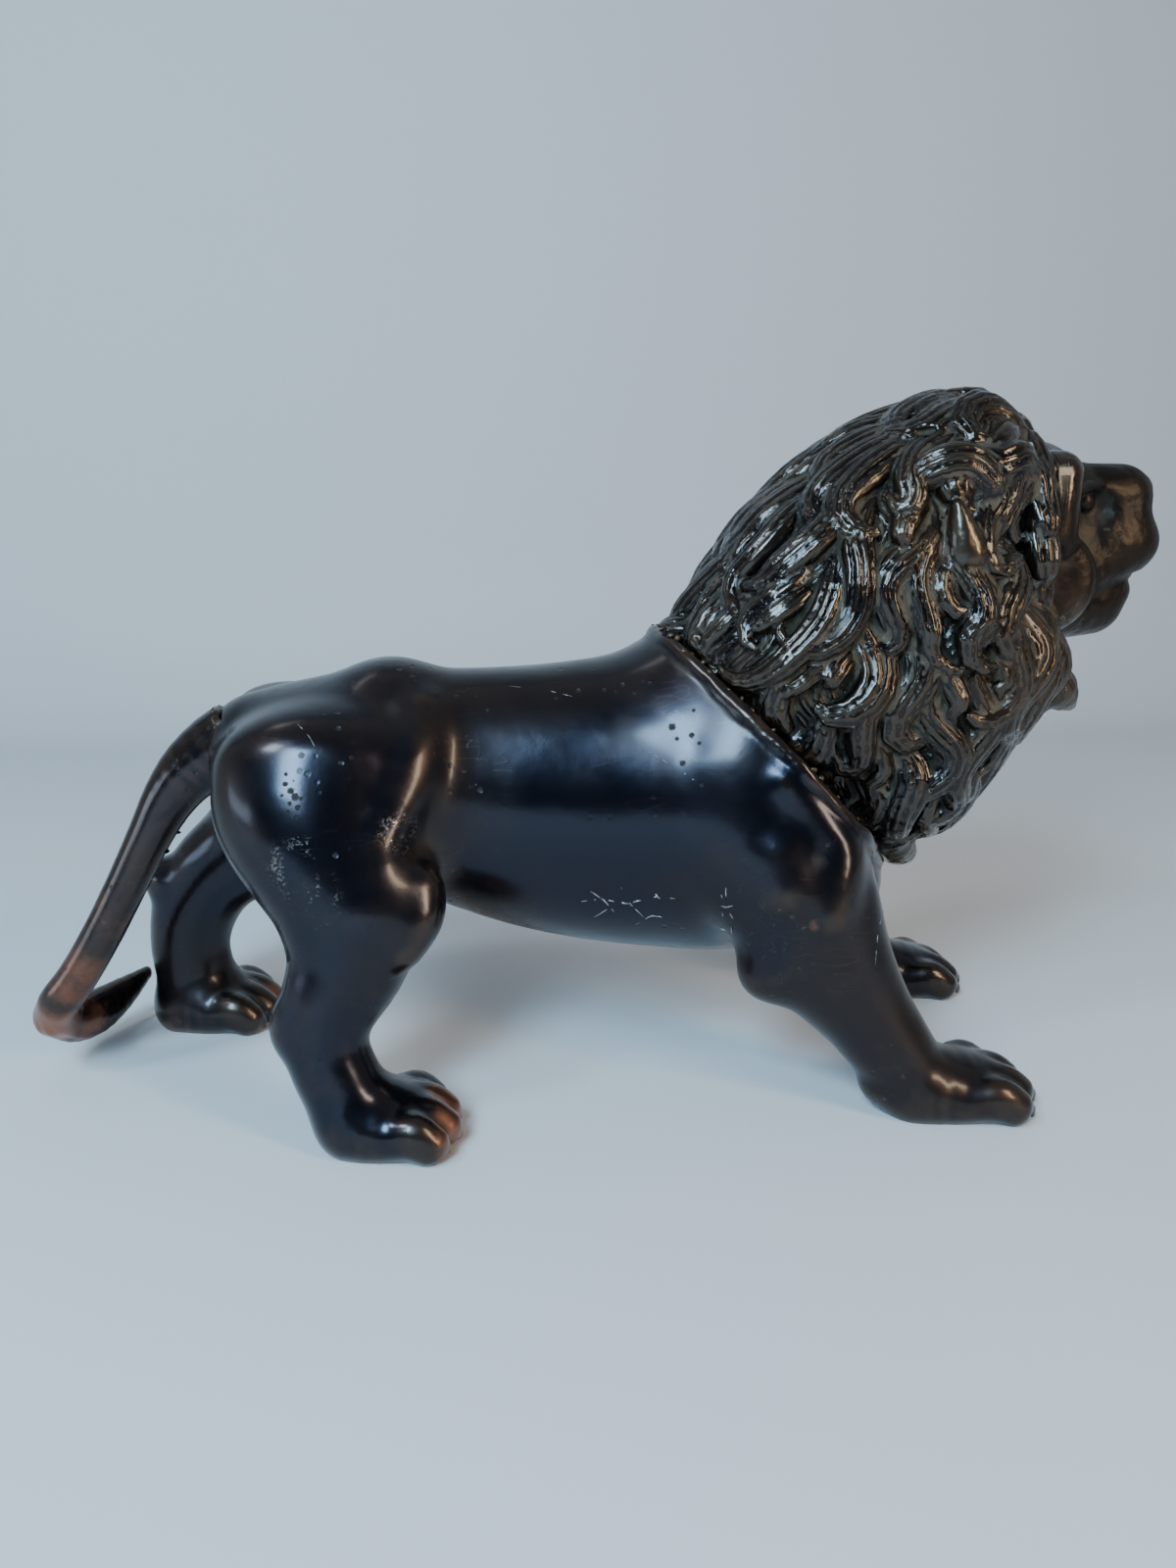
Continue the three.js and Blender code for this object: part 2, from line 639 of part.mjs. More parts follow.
// Thins a closed mesh to a number of facets by folding away the edges that matter least.
class Thinner {
  constructor({ points, faces }) {
    this.points = points.map((p) => p.slice());
    this.faces = faces.map((f) => f.slice());
    this.around = points.map(() => new Set());
    this.faces.forEach((f, n) => f.forEach((p) => this.around[p].add(n)));
    this.stamp = new Int32Array(points.length);
    this.error = points.map(() => new Float64Array(10));
    for (const face of this.faces) {
      const [a, b, c] = face.map((p) => this.points[p]);
      const n = cross(sub(b, a), sub(c, a));
      const area = Math.hypot(...n);
      if (area < 1e-12) continue;
      const [x, y, z] = scale(n, 1 / area);
      const w = -(x * a[0] + y * a[1] + z * a[2]);
      const q = [x * x, x * y, x * z, x * w, y * y, y * z, y * w, z * z, z * w, w * w];
      for (const p of face) q.forEach((value, m) => { this.error[p][m] += value * area; });
    }
    this.queue = new Queue();
    for (const [a, b, c] of this.faces) {
      if (a < b) this.offer(a, b);
      if (b < c) this.offer(b, c);
      if (c < a) this.offer(c, a);
    }
  }

  neighbours(p) {
    const set = new Set();
    for (const n of this.around[p]) for (const q of this.faces[n]) if (q !== p) set.add(q);
    return set;
  }

  // Queues the fold of an edge, with the point where it costs least.
  offer(a, b) {
    const q = this.error[a].map((v, m) => v + this.error[b][m]);
    const [xx, xy, xz, xw, yy, yz, yw, zz, zw, ww] = q;
    const cost = ([x, y, z]) => x * x * xx + 2 * x * y * xy + 2 * x * z * xz + 2 * x * xw
      + y * y * yy + 2 * y * z * yz + 2 * y * yw + z * z * zz + 2 * z * zw + ww;
    const pa = this.points[a];
    const pb = this.points[b];
    const middle = scale(add(pa, pb), 0.5);
    const options = [middle, pa, pb];
    const minorX = yy * zz - yz * yz;
    const minorY = xz * yz - xy * zz;
    const minorZ = xy * yz - xz * yy;
    const det = xx * minorX + xy * minorY + xz * minorZ;
    const size = xx + yy + zz;
    if (Math.abs(det) > 1e-6 * size * size * size) {
      const best = [
        -(xw * minorX + yw * minorY + zw * minorZ) / det,
        -(xw * minorY + yw * (xx * zz - xz * xz) + zw * (xz * xy - xx * yz)) / det,
        -(xw * minorZ + yw * (xy * xz - xx * yz) + zw * (xx * yy - xy * xy)) / det,
      ];
      if (Math.hypot(...sub(best, middle)) < 1.5 * Math.hypot(...sub(pa, pb))) options.push(best);
    }
    const length = Math.hypot(...sub(pa, pb));
    let least = Infinity;
    let at = middle;
    for (const point of options) {
      const c = cost(point);
      if (c < least) {
        least = c;
        at = point;
      }
    }
    this.queue.push({ cost: least + 1e-3 * length ** 3, a, b, at, stamps: [this.stamp[a], this.stamp[b]] });
  }

  // Whether moving a point there keeps its facets facing the same way and not too thin.
  keepsFacing(p, other, at) {
    for (const n of this.around[p]) {
      const face = this.faces[n];
      if (face.includes(other)) continue;
      const before = face.map((q) => this.points[q]);
      const after = face.map((q) => (q === p ? at : this.points[q]));
      const old = cross(sub(before[1], before[0]), sub(before[2], before[0]));
      const now = cross(sub(after[1], after[0]), sub(after[2], after[0]));
      const size = Math.hypot(...now);
      const edge = Math.max(
        Math.hypot(...sub(after[1], after[0])),
        Math.hypot(...sub(after[2], after[1])),
        Math.hypot(...sub(after[0], after[2])),
      );
      if (size < 0.06 * edge * edge) return false;
      if (dot(old, now) < 0.35 * size * Math.hypot(...old)) return false;
    }
    return true;
  }

  thin(target) {
    let left = this.faces.length;
    while (left > target && this.queue.items.length > 0) {
      const { a, b, at, stamps } = this.queue.pop();
      if (stamps[0] !== this.stamp[a] || stamps[1] !== this.stamp[b]) continue;
      const nearA = this.neighbours(a);
      const nearB = this.neighbours(b);
      let shared = 0;
      for (const q of nearA) if (nearB.has(q)) shared += 1;
      if (shared !== 2 || nearA.size + nearB.size < 9) continue;
      if (!this.keepsFacing(a, b, at) || !this.keepsFacing(b, a, at)) continue;
      for (const n of [...this.around[b]]) {
        const face = this.faces[n];
        if (face.includes(a)) {
          for (const q of face) this.around[q].delete(n);
          this.faces[n] = null;
          left -= 1;
        } else {
          face[face.indexOf(b)] = a;
          this.around[a].add(n);
        }
      }
      this.around[b].clear();
      this.stamp[b] = -1;
      this.points[a] = at;
      this.error[b].forEach((v, m) => { this.error[a][m] += v; });
      this.stamp[a] += 1;
      for (const q of this.neighbours(a)) this.offer(a, q);
    }
    return this.result();
  }

  result() {
    const ids = new Map();
    const points = [];
    const faces = [];
    for (const face of this.faces) {
      if (!face) continue;
      faces.push(face.map((p) => {
        if (!ids.has(p)) {
          ids.set(p, points.length);
          points.push(this.points[p]);
        }
        return ids.get(p);
      }));
    }
    return { points, faces };
  }
}

// A thinned mesh as a solid that can be cut.
function solid({ points, faces }) {
  const mesh = new wasm.Mesh({
    numProp: 3,
    vertProperties: new Float32Array(points.flat()),
    triVerts: new Uint32Array(faces.flat()),
  });
  const made = new wasm.Manifold(mesh);
  return made.decompose().sort((a, b) => b.volume() - a.volume())[0];
}

// A place or a station moved to the lion's right or left side.
const onSide = ([x, y, z, ...sizes], side) => [x, side * y, z, ...sizes];

const press = (clay, { centre, radii, fillet }) => clay.add(ellipsoid(centre, radii), fillet);
const hollow = (clay, { centre, radii, fillet }) => clay.carve(ellipsoid(centre, radii), fillet);
const pressOn = (clay, form, side) => press(clay, { ...form, centre: onSide(form.centre, side) });
const hollowOn = (clay, form, side) => hollow(clay, { ...form, centre: onSide(form.centre, side) });

// The body casting.
function paw(clay, { heel, y, length }) {
  const pad = PAD.map(([share, z, side, depth]) => station(heel + share * length, y, z, side, depth));
  clay.add(limb(pad), PAD_FILLET);
  for (const { spread, reach } of TOES) {
    const tip = heel + reach * length;
    const toe = TOE.map(([behind, out, z, side, depth]) => (
      station(tip - behind * length, y + out * spread, z, side, depth)));
    clay.add(limb(toe), TOE_FILLET);
  }
}

function bodyForm() {
  const clay = new Clay([-162, -58, -8], [106, 58, 146], CELL.body);
  clay.add(limb(TORSO));
  clay.add(limb(NECK), NECK_FILLET);
  for (const form of TRUNK_SWELLS) press(clay, form);
  for (const leg of [NEAR_HIND, FAR_HIND, NEAR_FORE, FAR_FORE]) clay.add(limb(leg), LEG_FILLET);
  for (const form of LEG_SWELLS) press(clay, form);
  for (const fold of FOLDS) clay.add(limb(fold), FOLD_FILLET);
  for (const form of HOLLOWS) hollow(clay, form);
  for (const foot of PAWS) paw(clay, foot);
  clay.add(neckRim(), RIM_FILLET);
  return clay;
}

// The raised lip of the body along the edge of the mane.
function neckRim() {
  const along = [Math.SQRT1_2, 0, -Math.SQRT1_2];
  const points = [];
  for (let i = 0; i <= RIM_STEPS; i += 1) {
    const turn = (2 * Math.PI * i) / RIM_STEPS;
    const at = add(
      add(NECK_CENTRE, scale(NECK_NORMAL, -RIM_RADIUS)),
      add(scale(along, NECK_HALF_LENGTH * Math.cos(turn)), [0, NECK_HALF_WIDTH * Math.sin(turn), 0]),
    );
    points.push({ at, side: RIM_RADIUS, depth: RIM_RADIUS, across: NECK_NORMAL });
  }
  return sweep(points);
}

// The tail casting, with its tuft. The last sweep's width runs across the leaf.
function tailForm() {
  const clay = new Clay([-184, -18, -4], [-96, 54, 112], CELL.tail);
  clay.add(limb(TAIL));
  clay.add(limb(TUFT, [1, 0, 0]), TUFT_FILLET);
  return clay;
}

// The head casting: the masses of the mane, the locks over them, and the face.
const nape = limb(NAPE, [0, 1, 0], 2);
const ruff = limb(RUFF, [0, 1, 0], 2);

function maneBase(x, y, z) {
  let d = blendMin(nape.distance(x, y, z), ruff.distance(x, y, z), MANE_BLEND);
  for (const { centre, radii } of MANE_MASSES) {
    d = blendMin(d, roundDistance(x - centre[0], y - centre[1], z - centre[2], ...radii), MANE_BLEND);
  }
  return d;
}

function maneNormal(p) {
  const e = 0.5;
  return unit([
    maneBase(p[0] + e, p[1], p[2]) - maneBase(p[0] - e, p[1], p[2]),
    maneBase(p[0], p[1] + e, p[2]) - maneBase(p[0], p[1] - e, p[2]),
    maneBase(p[0], p[1], p[2] + e) - maneBase(p[0], p[1], p[2] - e),
  ]);
}

function onMane(p) {
  let q = p;
  for (let n = 0; n < 4; n += 1) q = sub(q, scale(maneNormal(q), maneBase(...q)));
  return q;
}

// Which way the hair falls: back over the crown, down the sides, forward at the chest.
function hairFlow([x, y, z]) {
  const crown = 1.7 * smoothstep(148, 174, z);
  const nape = 0.55 * (1 - smoothstep(5, 45, x));
  const chest = 0.75 * (1 - smoothstep(62, 112, z)) * smoothstep(20, 60, x);
  return [-(0.12 + crown + nape - chest), 0.1 * Math.sign(y) * crown, -1];
}

// How far inside the opening for the face a point lies: below 1 is inside.
function faceOpening([x, y, z]) {
  if (x < FACE_BACK) return FAR;
  return Math.hypot(y / FACE_HALF_WIDTH, (z - FACE_CENTRE[2]) / FACE_HALF_HEIGHT);
}

// The fullness of a lock along its length: a slim root, a long full body and a round tip.
function lockProfile(t) {
  return Math.max(smoothstep(-0.3, 0.3, t) * Math.max(1 - t ** 3, 0) ** 0.55, 0.25);
}

// The path of one lock over the mane, from a root on its surface.
function lockPath(root, number) {
  const length = LOCK.length * mix(0.7, 1.3, scatter(number, 1));
  const halfWidth = LOCK.halfWidth * mix(0.8, 1.15, scatter(number, 2));
  const wave = LOCK.wave * mix(0.7, 1.3, scatter(number, 3));
  const shift = LOCK.waveShift * scatter(number, 4);
  const hook = scatter(number, 5) > 0.5 ? LOCK.hook : -LOCK.hook;
  const steps = Math.round(length / LOCK.step);
  const points = [];
  let p = root;
  for (let i = 0; i <= steps; i += 1) {
    const t = i / steps;
    const normal = maneNormal(p);
    const flow = hairFlow(p);
    const straight = unit(sub(flow, scale(normal, dot(flow, normal))));
    const level = cross(normal, straight);
    const turn = hook * smoothstep(LOCK.hookFrom, 1, t);
    const along = add(scale(straight, Math.cos(turn)), scale(level, Math.sin(turn)));
    const across = cross(normal, along);
    const phase = (2 * Math.PI * (p[2] - 0.8 * p[0])) / LOCK.waveLength + shift;
    const flat = mix(1, 0.7, smoothstep(158, 172, p[2]));
    const side = halfWidth * lockProfile(t);
    const depth = LOCK.halfHeight * flat * lockProfile(t);
    const lift = mix(LOCK.rootLift, LOCK.bodyLift, smoothstep(0, 0.7, t));
    let at = add(add(p, scale(across, wave * Math.sin(phase))), scale(normal, lift));
    const clear = dot(at, NECK_NORMAL) - (NECK_OFFSET + 0.8 * depth);
    if (clear < 0) at = sub(at, scale(NECK_NORMAL, clear));
    if (i > 1 && faceOpening(at) < RUN_OPENING) break;
    points.push({ at, side, depth, across });
    if (clear < -LOCK.pastJoint) break;
    p = onMane(add(p, scale(along, LOCK.step)));
  }
  return points;
}

// The share of a path that runs close to locks laid before it.
function sharedRun(points, laid) {
  const reach = LOCK.clearance ** 2;
  let close = 0;
  for (const { at } of points) {
    const met = (q) => (q[0] - at[0]) ** 2 + (q[1] - at[1]) ** 2 + (q[2] - at[2]) ** 2 < reach;
    if (laid.some(met)) close += 1;
  }
  return close / points.length;
}

// Locks over the whole mane, tried from roots spread evenly around its middle.
function maneLocks() {
  const locks = [];
  const laid = [];
  for (let n = 0; n < LOCK.tries; n += 1) {
    const i = (n * 7) % LOCK.tries;
    const h = 1 - (2 * (i + 0.5)) / LOCK.tries;
    const r = Math.sqrt(1 - h * h);
    const ray = [r * Math.cos(i * GOLDEN_TURN), r * Math.sin(i * GOLDEN_TURN), h];
    let far = 20;
    while (maneBase(...add(MANE_MIDDLE, scale(ray, far))) < 0) far += 1;
    const root = onMane(add(MANE_MIDDLE, scale(ray, far)));
    if (dot(root, NECK_NORMAL) < NECK_OFFSET + 2 || faceOpening(root) < ROOT_OPENING) continue;
    const points = lockPath(root, i);
    if (points.length < LOCK.fewestPoints || sharedRun(points, laid) > LOCK.shared) continue;
    laid.push(...points.map((q) => q.at));
    locks.push(points);
  }
  return locks;
}

// Locks that frame the face, from the brow down to the throat on either side.
function frameLocks() {
  const locks = [];
  const { count, start, apart, turn, side: halfWidth, depth: halfDepth, points: steps } = FRAME_LOCK;
  for (const side of SIDES) {
    for (let n = 0; n < count; n += 1) {
      const points = [];
      for (let i = 0; i <= steps; i += 1) {
        const t = i / steps;
        const angle = start + n * apart + turn * t;
        const grow = 1.08 + 0.05 * Math.sin(2 * Math.PI * t + n);
        const at = [
          FACE_CENTRE[0] - 2 - Math.cos(angle) + 1.5 * t,
          side * FACE_HALF_WIDTH * grow * Math.sin(angle),
          FACE_CENTRE[2] + FACE_HALF_HEIGHT * grow * Math.cos(angle),
        ];
        const belly = Math.sin(Math.PI * Math.min(0.15 + 0.85 * t, 1)) ** 0.6;
        points.push({
          at,
          side: Math.max(halfWidth * belly, 0.9),
          depth: Math.max(halfDepth * belly, 0.8),
          across: [1, 0, 0],
        });
      }
      locks.push(points);
    }
  }
  return locks;
}

function throat(clay) {
  for (const y of THROAT_PLACES) {
    const back = THROAT_BEND * y * y;
    const tuft = THROAT.map(([x, , z, side, depth]) => station(x - back, y, z, side, depth));
    clay.add(limb(tuft), THROAT_FILLET);
  }
  clay.add(limb(CHEST_TIP), CHEST_FILLET);
}

function ears(clay) {
  for (const side of SIDES) {
    hollowOn(clay, EAR_HOLLOW, side);
    clay.add(limb(EAR.map((row) => onSide(row, side))), EAR_FILLET);
    clay.add(limb(FORELOCK.map((row) => onSide(row, side)), [0, 0, 1]), FORELOCK_FILLET);
  }
}

function face(clay) {
  press(clay, SKULL);
  press(clay, FOREHEAD);
  clay.add(block(MUZZLE.centre, MUZZLE.half, MUZZLE.edge), MUZZLE.fillet);
  clay.add(limb(LIPS), FACE_FILLETS.lips);
  clay.add(limb(JAW), FACE_FILLETS.jaw);
  press(clay, LOWER_LIP);
  for (const side of SIDES) {
    pressOn(clay, UPPER_LIP, side);
    clay.add(block(onSide(TEMPLE.centre, side), TEMPLE.half, TEMPLE.edge), TEMPLE.fillet);
    clay.add(disc(onSide(CHEEK.centre, side), CHEEK.radius, CHEEK.half, CHEEK.edge), CHEEK.fillet);
    hollowOn(clay, SOCKET, side);
    pressOn(clay, EYE, side);
    const line = LIP_LINE.map((place) => [...onSide(place, side), LIP_GROOVE, LIP_GROOVE]);
    clay.carve(limb(line), FACE_FILLETS.line);
  }
  press(clay, NOSE);
}

function headForm() {
  const clay = new Clay([-22, -52, 44], [132, 52, 190], CELL.head);
  clay.add({ low: MANE_LOW, high: MANE_HIGH, distance: maneBase });
  for (const knob of KNOBS) press(clay, knob);
  for (const points of [...maneLocks(), ...frameLocks()]) clay.add(sweep(points), LOCK.fillet);
  throat(clay);
  ears(clay);
  face(clay);
  return clay;
}

// Cuts the castings to each other and stands them on the ground.
function castings() {
  const axis = unit(TAIL_AXIS);
  const offset = dot(TAIL_ROOT, axis);
  const tail = solid(new Thinner(tailForm().surface(0)).thin(FACETS.tail)).trimByPlane(axis, offset);
  const seat = solid(new Thinner(tailForm().surface(JOINT_GAP + SEAT_EASE)).thin(FACETS.tail))
    .trimByPlane(axis, offset - JOINT_GAP);
  const away = scale(NECK_NORMAL, -1);
  const body = solid(new Thinner(bodyForm().surface(0)).thin(FACETS.body))
    .trimByPlane([0, 0, 1], 0)
    .trimByPlane(away, -(NECK_OFFSET - JOINT_GAP / 2))
    .subtract(seat);
  const head = solid(new Thinner(headForm().surface(0)).thin(FACETS.head))
    .trimByPlane(NECK_NORMAL, NECK_OFFSET + JOINT_GAP / 2);
  return { body, head_and_mane: head, tail };
}

// A solid as a drawn and named part.
function part(name, made) {
  const { vertProperties, triVerts, numProp } = made.getMesh();
  const positions = new Float32Array((vertProperties.length / numProp) * 3);
  for (let i = 0; i < positions.length / 3; i += 1) {
    for (let k = 0; k < 3; k += 1) positions[3 * i + k] = vertProperties[numProp * i + k];
  }
  const geometry = new THREE.BufferGeometry();
  geometry.setAttribute('position', new THREE.BufferAttribute(positions, 3));
  geometry.setIndex(new THREE.BufferAttribute(new Uint32Array(triVerts), 1));
  geometry.computeVertexNormals();
  const { colour, roughness, metalness } = FINISH[name];
  const finish = new THREE.MeshStandardMaterial({ color: colour, roughness, metalness });
  const mesh = new THREE.Mesh(geometry, finish);
  mesh.name = name;
  return mesh;
}

const lion = new THREE.Group();
lion.position.set(-ORIGIN_X, 0, 0);
for (const [name, made] of Object.entries(castings())) lion.add(part(name, made));

export default lion;
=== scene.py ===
"""A cast metal lion in three castings, dressed in its dark patina.

The three castings are sculpted here in fine mesh from the same named forms as the fixed frame: each is a
soft solid, a field that is negative inside, sampled on a grid and meshed. Sculpting runs in millimetres in
the lion's own axes, with X forward from the middle of the torso, Y to its left and Z up. Finished meshes are
in metres in the frame.
"""
import logging
import math
from dataclasses import dataclass, replace
from enum import Enum
from typing import Callable, Mapping, Sequence

import bmesh
import bpy
import numpy as np
from mathutils import Matrix, Vector


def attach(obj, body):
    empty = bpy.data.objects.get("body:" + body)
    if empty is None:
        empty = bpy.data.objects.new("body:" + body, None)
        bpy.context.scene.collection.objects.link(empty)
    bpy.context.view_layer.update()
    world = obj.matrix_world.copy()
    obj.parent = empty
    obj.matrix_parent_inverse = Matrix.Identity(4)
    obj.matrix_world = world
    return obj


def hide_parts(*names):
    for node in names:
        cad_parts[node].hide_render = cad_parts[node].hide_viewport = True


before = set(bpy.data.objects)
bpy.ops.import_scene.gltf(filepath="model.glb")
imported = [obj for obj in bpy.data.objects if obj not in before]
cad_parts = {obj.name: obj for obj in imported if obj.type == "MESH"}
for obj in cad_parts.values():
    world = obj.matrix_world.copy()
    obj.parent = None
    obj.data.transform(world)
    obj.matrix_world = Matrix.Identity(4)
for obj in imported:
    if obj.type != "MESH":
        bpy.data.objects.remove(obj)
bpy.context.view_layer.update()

LOG = logging.getLogger("lion")

Station = tuple[float, float, float, float, float]
Stations = tuple[Station, ...]
Triple = tuple[float, float, float]
Pixel = tuple[float, float]
Colour = tuple[float, float, float, float]
Grid = np.ndarray
Rows = np.ndarray
Window = tuple[slice, slice, slice]
Piece = bpy.types.Object
Socket = bpy.types.NodeSocket
Sockets = bpy.types.bpy_prop_collection
Feeds = dict[str, Socket]

MM = 0.001
FORWARD_OF_ORIGIN = 27.93
FAR = 1e3
SIGHT_NEAREST = 120.0
SIGHT_FARTHEST = 620.0
NEAR_ROUNDS = 8
WIDE_ROUNDS = 48

STANCE = 36.5
JOINT_GAP = 0.3
NECK_NORMAL = np.array([math.sqrt(0.5), 0.0, math.sqrt(0.5)])
NECK_OFFSET = 76.0
NECK_CENTRE = np.array([18.0, 0.0, 89.5])
NECK_HALF_LENGTH = 41.0
NECK_HALF_WIDTH = 32.5
NECK_DOWN = np.array([math.sqrt(0.5), 0.0, -math.sqrt(0.5)])
RIM_RADIUS = 1.9
RIM_PROUD = -0.7
RIM_POINTS = 145
RIM_REACH = (20.0, 60.0)
SIDES = (-1, 1)


def to_frame(points: Rows) -> Rows:
    """Points in metres in the frame, from millimetres in the lion's axes."""
    return (points + (FORWARD_OF_ORIGIN, 0, 0)) * MM


def unit(a: Rows) -> Rows:
    """The direction of a vector, or of each row of vectors."""
    return a / np.maximum(np.linalg.norm(a, axis=-1, keepdims=True), 1e-9)


def smoothstep(low: float, high: float, t: Grid) -> Grid:
    """A soft rise from 0 at low to 1 at high."""
    s = np.clip((t - low) / (high - low), 0, 1)
    return s * s * (3 - 2 * s)


def scatter(i: Grid, j: int) -> Grid:
    """A repeatable number between 0 and 1 for each pair of whole numbers."""
    s = np.sin(np.asarray(i, float) * 12.9898 + j * 78.233) * 43758.5453
    return s - np.floor(s)


def blend_min(a: Grid, b: Grid, blend: float) -> Grid:
    """Union of two fields, with a fillet about as wide as the blend.

    Args:
        a: One field.
        b: The other field.
        blend: The fillet, or 0 for a crease.

    Returns:
        The field of the union.
    """
    if blend <= 0:
        return np.minimum(a, b)
    h = np.maximum(blend - np.abs(a - b), 0) / blend
    return np.minimum(a, b) - h * h * (blend * 0.25)


def round_distance(u: Grid, v: Grid, w: Grid, a: Grid, b: Grid, c: Grid) -> Grid:
    """Distance from an ellipse or ellipsoid whose half axes divide the offsets.

    Args:
        u, v, w: Offsets from the centre.
        a, b, c: The half axes.

    Returns:
        Distances, negative inside.
    """
    ua, vb, wc = u / a, v / b, w / c
    near = np.sqrt(ua * ua + vb * vb + wc * wc)
    ua, vb, wc = ua / a, vb / b, wc / c
    steep = np.sqrt(ua * ua + vb * vb + wc * wc)
    return np.where(steep < 1e-6, -np.minimum(np.minimum(a, b), c), near * (near - 1) / np.maximum(steep, 1e-6))


def spline(stations: Sequence[Station], t: float) -> Rows:
    """Smooth values between stations.

    Args:
        stations: Rows of centre, half width across and half depth.
        t: 0 at the first station and 1 at the last.

    Returns:
        The row at t.
    """
    rows = np.array(stations, float)
    last = len(rows) - 1
    i = min(int(t * last), last - 1)
    s = t * last - i
    before, here, ahead, beyond = rows[max(i - 1, 0)], rows[i], rows[i + 1], rows[min(i + 2, last)]
    slope_here, slope_ahead, rise = (ahead - before) / 2, (beyond - here) / 2, ahead - here
    bend = 3 * rise - 2 * slope_here - slope_ahead
    return here + s * (slope_here + s * (bend + s * (slope_here + slope_ahead - 2 * rise)))


class Lump:
    """A form that stands round a centre in the lion's axes."""

    centre: Triple

    def half_box(self) -> Rows:
        """Half the size of the box that the form fits into."""
        raise NotImplementedError

    def distance(self, x: Grid, y: Grid, z: Grid) -> Grid:
        """Distances from the form at offsets from its centre."""
        raise NotImplementedError

    def sample(self, clay: "Clay", reach: float) -> tuple[Window, Grid]:
        """Samples the form on the clay's grid.

        Args:
            clay: The clay whose grid is used.
            reach: How far beyond the form the samples go.

        Returns:
            The part of the grid that the form touches, and its distances there.
        """
        centre, half = np.array(self.centre), self.half_box()
        window = clay.window(centre - half - reach, centre + half + reach)
        return window, self.distance(*clay.offsets(window, centre))


@dataclass(frozen=True)
class Ellipsoid(Lump):
    """An ellipsoid, turned about the level axis across the lion."""

    centre: Triple
    radii: Triple
    pitch: float = 0.0

    def half_box(self) -> Rows:
        """The half axes, made even in the plane of the turn."""
        a, b, c = self.radii
        return np.array([max(a, c), b, max(a, c)] if self.pitch else self.radii)

    def distance(self, x: Grid, y: Grid, z: Grid) -> Grid:
        """Distances from the ellipsoid at offsets from its centre."""
        c, s = math.cos(self.pitch), math.sin(self.pitch)
        return round_distance(*((x * c + z * s, y, z * c - x * s) if self.pitch else (x, y, z)), *self.radii)


@dataclass(frozen=True)
class Swell:
    """An ellipsoid with the fillet that joins it on, or cuts it out."""

    centre: Triple
    radii: Triple
    fillet: float


@dataclass(frozen=True)
class Slab(Lump):
    """A block with flat faces and round edges."""

    centre: Triple
    half: Triple
    edge: float

    def half_box(self) -> Rows:
        """Half the block's size."""
        return np.array(self.half)

    def distance(self, x: Grid, y: Grid, z: Grid) -> Grid:
        """Distances from the block at offsets from its centre."""
        x, y, z = (np.abs(a) - (h - self.edge) for a, h in zip((x, y, z), self.half))
        outside = np.sqrt(np.maximum(x, 0) ** 2 + np.maximum(y, 0) ** 2 + np.maximum(z, 0) ** 2)
        return outside + np.minimum(np.maximum(np.maximum(x, y), z), 0) - self.edge


@dataclass(frozen=True)
class Disc(Lump):
    """A round plate that faces across the lion, with a round edge."""

    centre: Triple
    radius: float
    half: float
    edge: float

    def half_box(self) -> Rows:
        """Half the plate's size."""
        return np.array([self.radius, self.half, self.radius])

    def distance(self, x: Grid, y: Grid, z: Grid) -> Grid:
        """Distances from the plate at offsets from its centre."""
        out = np.sqrt(x * x + z * z) - (self.radius - self.edge)
        side = np.abs(y) - (self.half - self.edge)
        corner = np.sqrt(np.maximum(out, 0) ** 2 + np.maximum(side, 0) ** 2)
        return corner + np.minimum(np.maximum(out, side), 0) - self.edge


def mirrored(form: Lump | Swell, side: int) -> Lump | Swell:
    """The same form on the lion's left for a side of 1, or on its right for -1."""
    x, y, z = form.centre
    return replace(form, centre=(x, side * y, z))


def on_side(stations: Sequence[tuple[float, ...]], side: int) -> list[tuple[float, ...]]:
    """The same stations on the lion's left for a side of 1, or on its right for -1."""
    return [(x, side * y, *rest) for x, y, *rest in stations]


